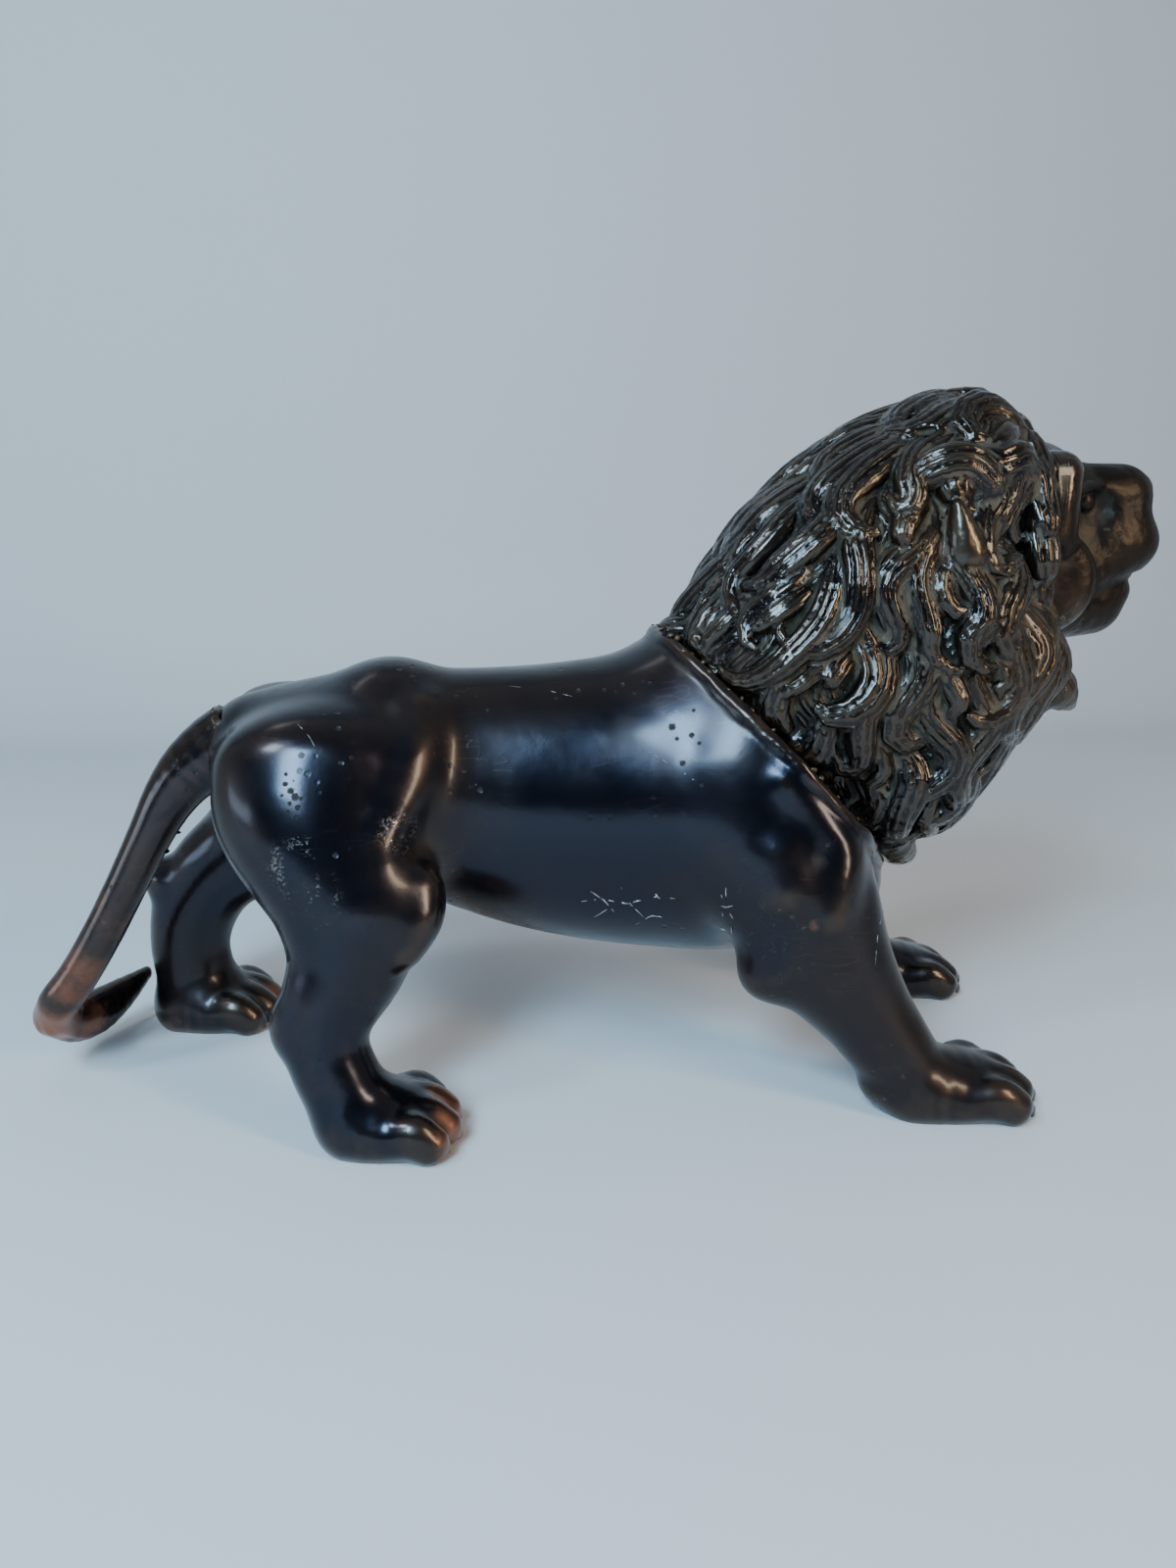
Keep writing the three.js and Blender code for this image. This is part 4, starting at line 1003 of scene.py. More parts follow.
    def round_chest(self, clay: Clay) -> None:
        """Rounds the chest off where it comes out below the mane.

        Args:
            clay: The clay to work in.
        """
        x, z = clay.axes[0][:, None, None], clay.axes[2][None, None, :]
        beyond = (x * NECK_NORMAL[0] + z * NECK_NORMAL[2] - NECK_OFFSET).astype(np.float32)
        width = (self.chest_round * (1 - smoothstep(*self.chest_heights, z)) + 0.01).astype(np.float32)
        near = np.maximum(width - np.abs(clay.values - beyond), 0)
        clay.values = np.where(width < 0.1, clay.values, np.maximum(clay.values, beyond) + near ** 2 / (4 * width))

    def holes(self, clay: Clay) -> list[tuple[Triple, float]]:
        """The centres and the radii of the larger pits, in metres in the frame."""
        return [(tuple(to_frame(at)), size * MM) for px, py, size in self.pits
                if (at := SIGHT.point(clay, px, py)) is not None]

    @staticmethod
    def neck_rim(clay: Clay) -> Sweep:
        """The raised lip along the edge of the mane, on the outline of the joint.

        Args:
            clay: The body's clay.

        Returns:
            The lip, to be joined on.
        """
        turn = np.linspace(0, 2 * math.pi, RIM_POINTS)
        ways = np.outer(np.cos(turn), NECK_DOWN) + np.outer(np.sin(turn), (0, 1.0, 0))
        middle = NECK_CENTRE - NECK_NORMAL * RIM_RADIUS
        steps = np.arange(*RIM_REACH, 0.25)
        probes = middle + ways[:, None, :] * steps[None, :, None]
        filled = clay.read(clay.values, probes.reshape(-1, 3)).reshape(len(turn), len(steps)) < 0
        reach = np.where(filled, steps, 0).max(axis=1)
        ring = np.concatenate([reach[-9:-1], reach, reach[1:9]])
        reach = np.convolve(ring, np.ones(5) / 5, "same")[8:-8] + RIM_PROUD
        wander = np.sin(7 * turn + 1) + 0.6 * np.sin(17 * turn) + 0.4 * np.sin(31 * turn + 2)
        at = middle + ways * reach[:, None] + np.outer(0.2 * wander, NECK_NORMAL)
        size = RIM_RADIUS * (1 + 0.08 * np.sin(11 * turn + 0.5) + 0.06 * np.sin(23 * turn))
        return Sweep(at, size, size, np.tile(NECK_NORMAL, (len(turn), 1)))

    def build(self, clay: Clay, tail_clay: Clay) -> Piece:
        """The casting as a mesh, cut at the neck and the soles, with a seat for the tail.

        Args:
            clay: The body's clay.
            tail_clay: The tail's clay, before its cut.

        Returns:
            The casting.
        """
        self.cut_seat(clay, tail_clay)
        points, faces = clay.surface()
        made = mesh_object("body_casting", relax(points, faces, rounds=4), faces)
        thin(made, self.limit)
        cut_flat(made, NECK_NORMAL, NECK_OFFSET - JOINT_GAP / 2)
        cut_flat(made, np.array([0, 0, -1.0]), 0)
        made.data.shade_smooth()
        mark_relief(made, fine=0.25, broad=1.4, rubs=self.rubs)
        store(made, "speckled", rubbed(read_mesh(made)[0], self.speckled))
        return made

    @staticmethod
    def cut_seat(clay: Clay, tail_clay: Clay) -> None:
        """Carves the tail's root out of the rump, with the gap of the joint.

        Args:
            clay: The body's clay.
            tail_clay: The tail's clay, before its cut.
        """
        window = clay.window(tail_clay.low, tail_clay.low + tail_clay.cell * (tail_clay.count - 1))
        x, y, z = (clay.axes[k][window[k]] for k in range(3))
        place = [np.clip(np.round((a - tail_clay.low[k]) / tail_clay.cell).astype(int), 0, tail_clay.count[k] - 1)
                 for k, a in enumerate((x, y, z))]
        tail = tail_clay.values[np.ix_(*place)] - (JOINT_GAP + 0.15)
        beyond = (TailCasting.ROOT @ TailCasting.AXIS - JOINT_GAP
                  - (x[:, None, None] * TailCasting.AXIS[0] + z[None, None, :] * TailCasting.AXIS[2]))
        clay.values[window] = np.maximum(clay.values[window], -np.maximum(tail, beyond))


@dataclass
class TailCasting:
    """The tail with its tuft, one casting let into the rump."""

    ROOT = np.array([-117.0, 0, 92])
    AXIS = np.array([-0.8645, 0, -0.5026])

    cell: float = 0.6
    limit: int = 60_000
    box: tuple[Triple, Triple] = ((-184, -18, -4), (-96, 54, 112))
    tail: Stations = (
        (-110, 0, 94, 9, 9.5), (-119, 0, 91, 8.5, 9.5), (-128, 0, 85, 7, 8), (-134.5, 0, 77.5, 5.8, 6.6),
        (-140, 0, 68, 5.2, 5.5), (-146.5, 0, 55.5, 4.9, 5.1), (-153.5, 0, 42.5, 4.8, 5), (-160.5, 0, 31, 5, 5),
        (-166.5, 1, 23, 5.2, 5.2), (-169, 6, 17.5, 5, 5))
    tuft: Stations = (
        (-169.5, 5, 17, 4.6, 4.6), (-168, 13, 12.5, 4.6, 6), (-164, 22, 10.5, 4.4, 6.6),
        (-159.5, 31, 11.5, 3.4, 5.2), (-154.5, 40, 14, 1.6, 2.2))
    rubs: tuple[Rub, ...] = (
        Rub((-152, 0, 46), 14, 0.35), Rub((-160, 0, 31), 15, 0.6), Rub((-168, 4, 18), 14, 1.0),
        Rub((-167, 16, 11), 12, 0.8), Rub((-160, 30, 11), 12, 0.35))

    def sculpt(self) -> Clay:
        """The whole tail before its cut."""
        clay = Clay(*self.box, pace(self.cell))
        clay.add(limb(self.tail))
        clay.soften(width=1.5)
        clay.add(limb(self.tuft, (1, 0, 0), strands=3.0, groove=0.5), blend=3)
        return clay

    def build(self, clay: Clay) -> Piece:
        """The casting as a mesh, cut off inside the rump.

        Args:
            clay: The tail's clay.

        Returns:
            The casting.
        """
        points, faces = clay.surface()
        made = mesh_object("tail_casting", relax(points, faces, rounds=3), faces)
        thin(made, self.limit)
        cut_flat(made, -self.AXIS, -float(self.ROOT @ self.AXIS))
        made.data.shade_smooth()
        mark_relief(made, fine=0.12, broad=0.8, rubs=self.rubs)
        return made


@dataclass(frozen=True)
class LockStyle:
    """How the locks of one layer of the mane are laid."""

    tries: int
    length: float
    half_width: float
    half_height: float
    wave: float
    clearance: float
    shared: float
    strands: float
    groove: float
    seed: int
    curl: float
    wave_length: float
    step: float = 2.6


@dataclass
class ManeCasting:
    """The head with its whole mane, one casting."""

    cell: float = 0.54
    limit: int = 198_000
    box: tuple[Triple, Triple] = ((-22, -52, 44), (132, 52, 190))
    mass_box: tuple[Triple, Triple] = ((-20, -48, 46), (108, 48, 182))
    masses: tuple[tuple[Triple, Triple], ...] = (
        ((54.5, 0, 118), (28, 37, 46)), ((62.8, 0, 156.4), (18.4, 26, 19.8)), ((46, 0, 84), (20, 31, 20.5)),
        ((27, 0, 103), (26, 34, 26)))
    nape: Stations = ((46, 0, 146.6, 29, 21.6), (30, 0, 131, 32, 22.5), (15, 0, 113, 30, 20.5))
    ruff: Stations = ((72.5, 0, 113, 30, 19), (60, 0, 98, 26, 12), (52, 0, 84, 23, 9.6))
    knobs: tuple[Swell, ...] = (
        Swell((74.8, 0, 166.2), (8.2, 13, 8), 2), Swell((-6.5, -3, 117.5), (6.5, 8, 5), 1.5))
    ear: Stations = (
        (50, 33.4, 149.5, 2.2, 1.6), (51.5, 34.2, 144, 3.2, 3.6), (53.4, 34.6, 138.6, 3.6, 5),
        (54.4, 34, 136, 3, 4))
    forelocks: tuple[Stations, ...] = (
        ((40, 26, 152.6, 2.4, 2.4), (46, 29, 158, 4.6, 3.8), (53, 30.4, 159.2, 4.8, 3.8), (59, 30, 154.6, 4.2, 3.6),
         (57, 30.4, 151.4, 2, 2)),
        ((55, 27.5, 161, 2.2, 2.2), (61, 28.6, 158.6, 4.8, 4), (67, 27, 160.4, 4.4, 3.8), (72, 23.4, 157, 3, 3),
         (71, 24, 152.4, 1.6, 1.6)))
    blend: float = 10.0
    middle: Triple = (50, 0, 118)
    crown: Triple = (64, 0, 180)
    chest: Triple = (34, 0, 62)
    comb_strands: int = 92
    comb_wave: float = 3.0
    comb_length: float = 24.0
    comb_depth: float = 1.1
    face_centre: Triple = (77, 0, 141)
    face_half_width: float = 25.0
    face_half_height: float = 26.0
    locks: LockStyle = LockStyle(
        tries=2400, length=36, half_width=5.4, half_height=4.0, wave=3.6, clearance=5.2, shared=0.5, strands=4.0,
        groove=0.7, seed=0, curl=1.9, wave_length=27.0)
    tufts: LockStyle = LockStyle(
        tries=6000, length=22, half_width=3.2, half_height=2.9, wave=2.6, clearance=3.4, shared=0.42, strands=3.0,
        groove=0.45, seed=10, curl=1.6, wave_length=20.0)
    frame_count: int = 7
    frame_points: int = 9
    frame_start: float = 0.12
    frame_step: float = 0.4
    frame_run: float = 0.62
    frame_half_width: float = 4.6
    frame_half_depth: float = 3.4
    lips: Stations = (
        (88, 0, 132.5, 15.2, 10.5), (98, 0, 135, 14.6, 10.8), (105.6, 0, 139, 12.8, 9.2), (109, 0, 140.5, 11, 8))
    jaw: Stations = ((82, 0, 128, 15, 12.5), (95, 0, 125.5, 12.5, 10), (104.5, 0, 125.5, 10, 9))
    lip_line: tuple[Triple, ...] = (
        (99, 14.2, 123.2), (104, 13.6, 127), (108, 12, 131), (112.5, 8.4, 133), (115, 4, 133.6), (116, -0.5, 133.8))
    lip_radius: float = 0.8
    skull: tuple[Swell, ...] = (Swell((75, 0, 144), (18, 20.5, 21), 5), Swell((84.5, 0, 153), (12.8, 15, 13.4), 3))
    muzzle: Slab = Slab((100.8, 0, 146.4), (15.6, 12.4, 14.4), 8.8)
    chin: Swell = Swell((106, 0, 128.6), (9.2, 9.5, 6.2), 2)
    whisker_pad: Swell = Swell((107, 5.6, 141.2), (11.8, 8.2, 8.8), 3)
    temple: Slab = Slab((77, 13.2, 149.6), (13.2, 8.4, 13.6), 6.2)
    cheek: Disc = Disc((83.6, 13, 131.6), 13.2, 6.6, 4.4)
    eye_socket: Swell = Swell((97, 14.5, 150), (5, 4, 4.4), 3)
    eye: Swell = Swell((94.2, 10.8, 151), (3, 3, 2.6), 0.8)
    brow: Stations = (
        (90, 15.5, 153.6, 1.6, 1.4), (95, 12.6, 154.8, 1.6, 1.4), (100, 9.4, 154, 1.2, 1.2))
    cheek_hollow: Swell = Swell((79.5, 21.4, 138.6), (5.5, 2.4, 2.2), 1.5)
    mouth_corner: Swell = Swell((103, 13.4, 125.4), (2.2, 2.4, 1.2), 0.8)
    nose: Swell = Swell((113, 0, 154.4), (5.4, 7, 5), 1.5)
    nostril: Swell = Swell((118.2, 3.6, 152.4), (2, 1.7, 1.3), 0.6)
    nose_line: Stations = (
        (120.6, 0, 149, 0.5, 0.7), (122, 0, 143, 0.5, 0.8), (118.6, 0, 136, 0.5, 0.8))
    ear_hollow: Swell = Swell((61.6, 37, 142.6), (2.6, 5, 6), 2)
    ear_reach: Triple = (6, 8, 7)
    throat_places: tuple[float, ...] = (-15, -5, 5, 15)
    throat_round: float = 0.022
    throat_tuft: Stations = (
        (79, 1, 116, 6.4, 6), (87, 1.05, 110.5, 6.8, 6.4), (93.5, 1.1, 105, 5.8, 5.6), (99, 1, 100.4, 2, 2))
    chest_tip: Stations = (
        (42, 0, 76, 24, 9), (49, 0, 66, 20, 8), (54.5, 0, 60, 13, 5.6), (59.5, 0, 57.2, 4.5, 2.6))
    hole_radii: Triple = (2.6, 2.6, 0.9)
    hole_pitch: float = math.radians(12)
    hole_pixel: Pixel = (945, 440)
    rubs: tuple[Rub, ...] = (Rub((112, 0, 152), 12, 0.3),)

    def __post_init__(self) -> None:
        """Sets out the two sweeps under the mane."""
        self.back = limb(self.nape, steps=2)
        self.front = limb(self.ruff, steps=2)

    def base(self, p: Rows) -> Rows:
        """The field of the mane's masses at loose points.

        Args:
            p: Rows of points.

        Returns:
            Distances, negative inside.
        """
        d = blend_min(self.back.smooth_distance(p), self.front.smooth_distance(p), self.blend)
        for centre, radii in self.masses:
            x, y, z = (p - np.array(centre)).T
            d = blend_min(d, round_distance(x, y, z, *radii), self.blend)
        return d

    def normal(self, p: Rows) -> Rows:
        """The outward direction of the mane's masses at loose points."""
        e = 0.5 * np.eye(3)
        return unit(np.stack([self.base(p + e[k]) - self.base(p - e[k]) for k in range(3)], axis=1))

    def settle_on(self, p: Rows) -> Rows:
        """Moves loose points onto the mane's masses."""
        for _ in range(4):
            p = p - self.normal(p) * self.base(p)[:, None]
        return p

    @staticmethod
    def hair_flow(p: Rows) -> Rows:
        """Which way the hair falls: back over the crown, down the sides, forward at the chest.

        Args:
            p: Rows of points.

        Returns:
            A direction for each point.
        """
        x, y, z = p.T
        crown = 1.7 * smoothstep(148, 174, z)
        nape = 0.55 * (1 - smoothstep(5, 45, x))
        chest = 0.75 * (1 - smoothstep(62, 112, z)) * smoothstep(20, 60, x)
        return np.stack([-(0.12 + crown + nape - chest), 0.1 * np.sign(y) * crown, -np.ones_like(x)], axis=1)

    def face_opening(self, p: Rows) -> Rows:
        """How far inside the opening for the face points lie: below 1 is inside.

        Args:
            p: Rows of points.

        Returns:
            A number for each point.
        """
        across = p[:, 1] / self.face_half_width
        up = (p[:, 2] - self.face_centre[2]) / self.face_half_height
        return np.where(p[:, 0] < 66, FAR, np.hypot(across, up))

    @staticmethod
    def lock_profile(t: Rows) -> Rows:
        """The fullness of a lock: a slim root, a long full body and a short tip."""
        return np.maximum(smoothstep(-0.3, 0.3, t) * np.maximum(1 - t ** 3, 0) ** 0.55, 0.25)

    def roots(self, style: LockStyle) -> tuple[Rows, Rows]:
        """Places spread evenly over the mane, with their numbers.

        Args:
            style: How the locks of this layer are laid.

        Returns:
            Rows of points, and their numbers.
        """
        n = np.arange(style.tries)
        i = (n * 7) % style.tries
        h = 1 - 2 * (i + 0.5) / style.tries
        r = np.sqrt(1 - h * h)
        golden = math.pi * (3 - math.sqrt(5))
        ray = np.stack([r * np.cos(i * golden), r * np.sin(i * golden), h], axis=1)
        far = np.full(style.tries, 20.0)
        middle = np.array(self.middle)
        while True:
            inside = self.base(middle + ray * far[:, None]) < 0
            if not inside.any():
                break
            far[inside] += 1
        root = self.settle_on(middle + ray * far[:, None])
        good = (root @ NECK_NORMAL >= NECK_OFFSET + 2) & (self.face_opening(root) >= 1.08)
        return root[good], i[good]

    def paths(self, style: LockStyle) -> list[Sweep]:
        """Every lock that could be laid in a style, before any is turned down for want of room.

        Args:
            style: How the locks of this layer are laid.

        Returns:
            The locks, in the order of their roots.
        """
        root, number = self.roots(style)
        key = number + 7919 * style.seed
        length = style.length * (0.7 + 0.6 * scatter(key, 1))
        width = style.half_width * (0.8 + 0.35 * scatter(key, 2))
        wave = style.wave * (0.7 + 0.6 * scatter(key, 3))
        hook = np.where(scatter(key, 5) > 0.5, 1, -1)
        steps = np.floor(length / style.step + 0.5).astype(int)
        going = np.ones(len(root), bool)
        kept: list[list[tuple]] = [[] for _ in root]
        p = root
        for i in range(steps.max() + 1):
            t = np.minimum(i / steps, 1)
            normal = self.normal(p)
            flow = self.hair_flow(p)
            along = unit(flow - normal * np.sum(flow * normal, axis=1, keepdims=True))
            across = np.cross(normal, along)
            turn = (style.curl * hook * smoothstep(0.55, 1, t))[:, None]
            along, across = along * np.cos(turn) + across * np.sin(turn), across * np.cos(turn) - along * np.sin(turn)
            phase = 2 * np.pi * (p[:, 2] - 0.8 * p[:, 0]) / style.wave_length + 2.4 * scatter(key, 4)
            flat = 1 - 0.3 * smoothstep(158, 172, p[:, 2])
            side = width * self.lock_profile(t)
            depth = style.half_height * flat * self.lock_profile(t)
            lift = -1.6 + 3.0 * smoothstep(0, 0.7, t)
            swing = wave * np.sin(phase)
            at = p + across * swing[:, None] + normal * lift[:, None]
            clear = at @ NECK_NORMAL - (NECK_OFFSET + 0.8 * depth)
            at = at - NECK_NORMAL * np.minimum(clear, 0)[:, None]
            going &= (i <= steps) & ~((i > 1) & (self.face_opening(at) < 1.02))
            for k in np.flatnonzero(going):
                kept[k].append((at[k], side[k], depth[k], across[k]))
            going &= clear >= -7
            if not going.any():
                break
            p = self.settle_on(p + along * style.step)
        made = []
        for rows in kept:
            if len(rows) < 5:
                continue
            at, side, depth, across = (np.array(column) for column in zip(*rows))
            made.append(Sweep(at, side, depth, across, style.strands, style.groove))
        return made

    def laid(self) -> list[Sweep]:
        """The locks of both layers, laid one by one where there is room."""
        locks: list[Sweep] = []
        taken = np.zeros((0, 3))
        for style in (self.locks, self.tufts):
            reach = style.clearance ** 2
            for form in self.paths(style):
                if len(taken):
                    gap = ((form.at[:, None, :] - taken[None, :, :]) ** 2).sum(2).min(1)
                    if np.mean(gap < reach) > style.shared:
                        continue
                taken = np.concatenate([taken, form.at])
                locks.append(form)
        return locks

    def frame_locks(self) -> list[Sweep]:
        """Locks that frame the face, from the brow down to the throat on either side."""
        locks = []
        t = np.linspace(0, 1, self.frame_points)
        for side in SIDES:
            for n in range(self.frame_count):
                turn = self.frame_start + n * self.frame_step + self.frame_run * t
                grow = 1.08 + 0.05 * np.sin(2 * np.pi * t + n)
                at = np.stack([self.face_centre[0] - 2 - np.cos(turn) + 1.5 * t,
                               side * self.face_half_width * grow * np.sin(turn),
                               self.face_centre[2] + self.face_half_height * grow * np.cos(turn)], axis=1)
                belly = np.maximum(np.sin(np.pi * np.minimum(0.15 + 0.85 * t, 1)), 0) ** 0.6
                locks.append(Sweep(at, np.maximum(self.frame_half_width * belly, 0.9),
                                   np.maximum(self.frame_half_depth * belly, 0.8),
                                   np.tile(np.array([1.0, 0, 0]), (self.frame_points, 1)), strands=3.0, groove=0.6))
        return locks

    def mass(self, clay: Clay) -> None:
        """Fills the clay with the masses under the mane.

        Args:
            clay: The clay to work in.
        """
        window = clay.window(*np.array(self.mass_box, float))
        x, y, z = np.meshgrid(*(clay.axes[k][window[k]][::2] for k in range(3)), indexing="ij")
        coarse = self.base(np.stack([x.ravel(), y.ravel(), z.ravel()], axis=1)).reshape(x.shape)
        values = enlarge(coarse, [w.stop - w.start for w in window])
        clay.values[window] = np.minimum(clay.values[window], values)

    def comb(self, clay: Clay) -> None:
        """Combs wavy strands into the masses, so that no bare ground shows between the locks.

        Args:
            clay: The clay to work in.
        """
        near = np.argwhere(np.abs(clay.values) < 3)
        off = clay.low + near * clay.cell - np.array(self.crown)
        down = unit(np.array(self.chest) - np.array(self.crown))
        fore = np.array([-down[2], 0, down[0]])
        along = off @ down
        turn = np.arctan2(off[:, 1], off @ fore)
        radius = np.maximum(np.hypot(off[:, 1], off @ fore), 10)
        bend = self.comb_wave * np.sin(2 * np.pi * along / self.comb_length + 2 * np.sin(3 * turn)) / radius
        ridge = np.abs(np.sin((turn + bend) * (self.comb_strands / 2)))
        clay.grain[tuple(near.T)] = ((turn + bend) * radius).astype(np.float32)
        clay.values[tuple(near.T)] += (self.comb_depth * (1 - ridge ** 0.8)).astype(np.float32)

    def face(self, clay: Clay) -> None:
        """Works the face into the clay.

        Args:
            clay: The clay to work in.
        """
        for swell in self.skull:
            clay.press(swell)
        clay.add(self.muzzle, blend=4)
        clay.add(limb(self.lips), blend=3)
        clay.add(limb(self.jaw), blend=2)
        clay.press(self.chin)
        lip_line = [(*at, self.lip_radius, self.lip_radius) for at in self.lip_line]
        for side in SIDES:
            clay.press(mirrored(self.whisker_pad, side))
            clay.add(mirrored(self.temple, side), blend=2.5)
            clay.add(mirrored(self.cheek, side), blend=1.6)
            clay.dent(mirrored(self.eye_socket, side))
            clay.press(mirrored(self.eye, side))
            clay.add(limb(on_side(self.brow, side)), blend=1.2)
            clay.dent(mirrored(self.cheek_hollow, side))
            clay.dent(mirrored(self.mouth_corner, side))
            clay.carve(limb(on_side(lip_line, side)), blend=0.5)
        clay.press(self.nose)
        for side in SIDES:
            clay.dent(mirrored(self.nostril, side))
        clay.carve(limb(self.nose_line), blend=0.8)

    def ears(self, clay: Clay) -> None:
        """The ears, the hollows round them and the forelocks over them.

        Args:
            clay: The clay to work in.
        """
        for side in SIDES:
            clay.dent(mirrored(self.ear_hollow, side))
            clay.add(limb(on_side(self.ear, side)), blend=0.6)
            for stations in self.forelocks:
                lock = limb(on_side(stations, side), (0, 0, -side), steps=5, strands=4.0, groove=0.7)
                clay.lay(lock, blend=0.8)

    def throat(self, clay: Clay) -> None:
        """The pointed tufts at the front of the mane.

        Args:
            clay: The clay to work in.
        """
        for y in self.throat_places:
            back = self.throat_round * y * y
            tuft = [(x - back, out * y, *rest) for x, out, *rest in self.throat_tuft]
            clay.add(limb(tuft, strands=5.0, groove=0.6), blend=0.8)
        clay.add(limb(self.chest_tip, strands=9.0, groove=0.8), blend=2)

    def sculpt(self) -> Clay:
        """The whole casting before its cut."""
        clay = Clay(*self.box, pace(self.cell))
        self.mass(clay)
        for knob in self.knobs:
            clay.press(knob)
        self.comb(clay)
        locks = self.laid()
        LOG.info("mane: %d locks", len(locks))
        for lock in [*locks, *self.frame_locks()]:
            clay.lay(lock, blend=0.6)
        self.throat(clay)
        self.ears(clay)
        self.face(clay)
        hole = SIGHT.point(clay, *self.hole_pixel)
        if hole is not None:
            clay.carve(Ellipsoid(tuple(hole), self.hole_radii, self.hole_pitch), blend=0.4)
        return clay

    def build(self) -> Piece:
        """The casting as a mesh, cut at the neck."""
        clay = self.sculpt()
        points, faces = clay.surface()
        made = mesh_object("head_and_mane_casting", relax(points, faces, rounds=1), faces)
        thin(made, self.limit)
        cut_flat(made, -NECK_NORMAL, -(NECK_OFFSET + JOINT_GAP / 2))
        made.data.shade_smooth()
        mark_relief(made, fine=0.22, broad=2.2, rubs=self.rubs)
        points = read_mesh(made)[0] / MM - (FORWARD_OF_ORIGIN, 0, 0)
        calm = 1 - smoothstep(0.88, 1.02, self.face_opening(points))
        store(made, "calm", calm)
        ears = [np.linalg.norm((np.abs(points) - (x, y, z)) / self.ear_reach, axis=1) for x, y, z, *_ in self.ear]
        store(made, "hair", np.minimum(1 - calm, smoothstep(0.8, 1.1, np.min(ears, axis=0))))
        store(made, "grain", clay.read(clay.grain, points))
        return made


class Nodes:
    """Adds nodes to a shader tree and joins them with short calls."""

    def __init__(self, tree: bpy.types.NodeTree) -> None:
        """Works on one tree."""
        self.tree = tree

    def put(self, kind: str, given: Mapping[int | str, object] | None = None, **settings: object) -> bpy.types.Node:
        """A new node.

        Args:
            kind: Its type.
            given: What its inputs get.
            **settings: Its settings.

        Returns:
            The node.
        """
        node = self.tree.nodes.new(kind)
        for name, value in settings.items():
            setattr(node, name, value)
        for name, value in (given or {}).items():
            self.feed(node.inputs[name], value)
        return node

    def feed(self, socket: Socket, value: object) -> None:
        """Gives a socket a link or a fixed value."""
        if isinstance(value, Socket):
            self.tree.links.new(value, socket)
        elif value is not None:
            socket.default_value = value

    def call(self, kind: str, out: int | str, given: Mapping[int | str, object], **settings: object) -> Socket:
        """One output of a new node."""
        return self.put(kind, given, **settings).outputs[out]

    def maths(self, operation: str, a: object, b: object = None, clamp: bool = False) -> Socket:
        """The result of one sum."""
        return self.call("ShaderNodeMath", 0, {0: a, 1: b}, operation=operation, use_clamp=clamp)

    def times(self, a: object, b: object, clamp: bool = False) -> Socket:
        """One value times another."""
        return self.maths("MULTIPLY", a, b, clamp)

    def most(self, a: object, b: object) -> Socket:
        """The larger of two values."""
        return self.maths("MAXIMUM", a, b)

    def span(self, value: object, low: float, high: float, to_low: float = 0.0, to_high: float = 1.0) -> Socket:
        """A value brought from one range to another, softly and clamped."""
        given = dict(enumerate((value, low, high, to_low, to_high)))
        return self.call("ShaderNodeMapRange", 0, given, interpolation_type="SMOOTHSTEP")

    def blend(self, factor: object, a: object, b: object) -> Socket:
        """Two colours mixed."""
        return self.call("ShaderNodeMix", 2, {0: factor, 6: a, 7: b}, data_type="RGBA")

    def level(self, factor: object, a: object, b: object) -> Socket:
        """Two values mixed."""
        return self.call("ShaderNodeMix", 0, {0: factor, 2: a, 3: b}, data_type="FLOAT")

    def noise(self, vector: object, scale: object, detail: float = 2.0, rough: float = 0.5) -> Socket:
        """Smooth noise around a half."""
        given = {"Vector": vector, "Scale": scale, "Detail": detail, "Roughness": rough}
        return self.call("ShaderNodeTexNoise", "Fac", given)

    def cells(self, vector: object, scale: object) -> Socket:
        """Distance to the nearest of scattered points."""
        return self.call("ShaderNodeTexVoronoi", "Distance", {"Vector": vector, "Scale": scale}, feature="F1")

    def stretched(self, vector: object, scale: Triple, turn: Triple) -> Socket:
        """Coordinates turned and stretched."""
        return self.call("ShaderNodeMapping", "Vector", {"Vector": vector, "Rotation": turn, "Scale": scale})


PathMaker = Callable[[Nodes, Sockets, Socket], Socket]
GroupMaker = Callable[[Nodes, Sockets], Feeds]


class Effect(Enum):
    """The shader node groups that the finishes share."""

    PATINA = "patina_clouds"
    DIRT = "hollow_dirt"
    WEAR = "edge_wear"
    SCRATCHES = "fine_scratches"
    PITS = "pin_pits"
    CAST = "cast_skin"
    STRANDS = "hair_strands"
    SPECKS = "pale_specks"


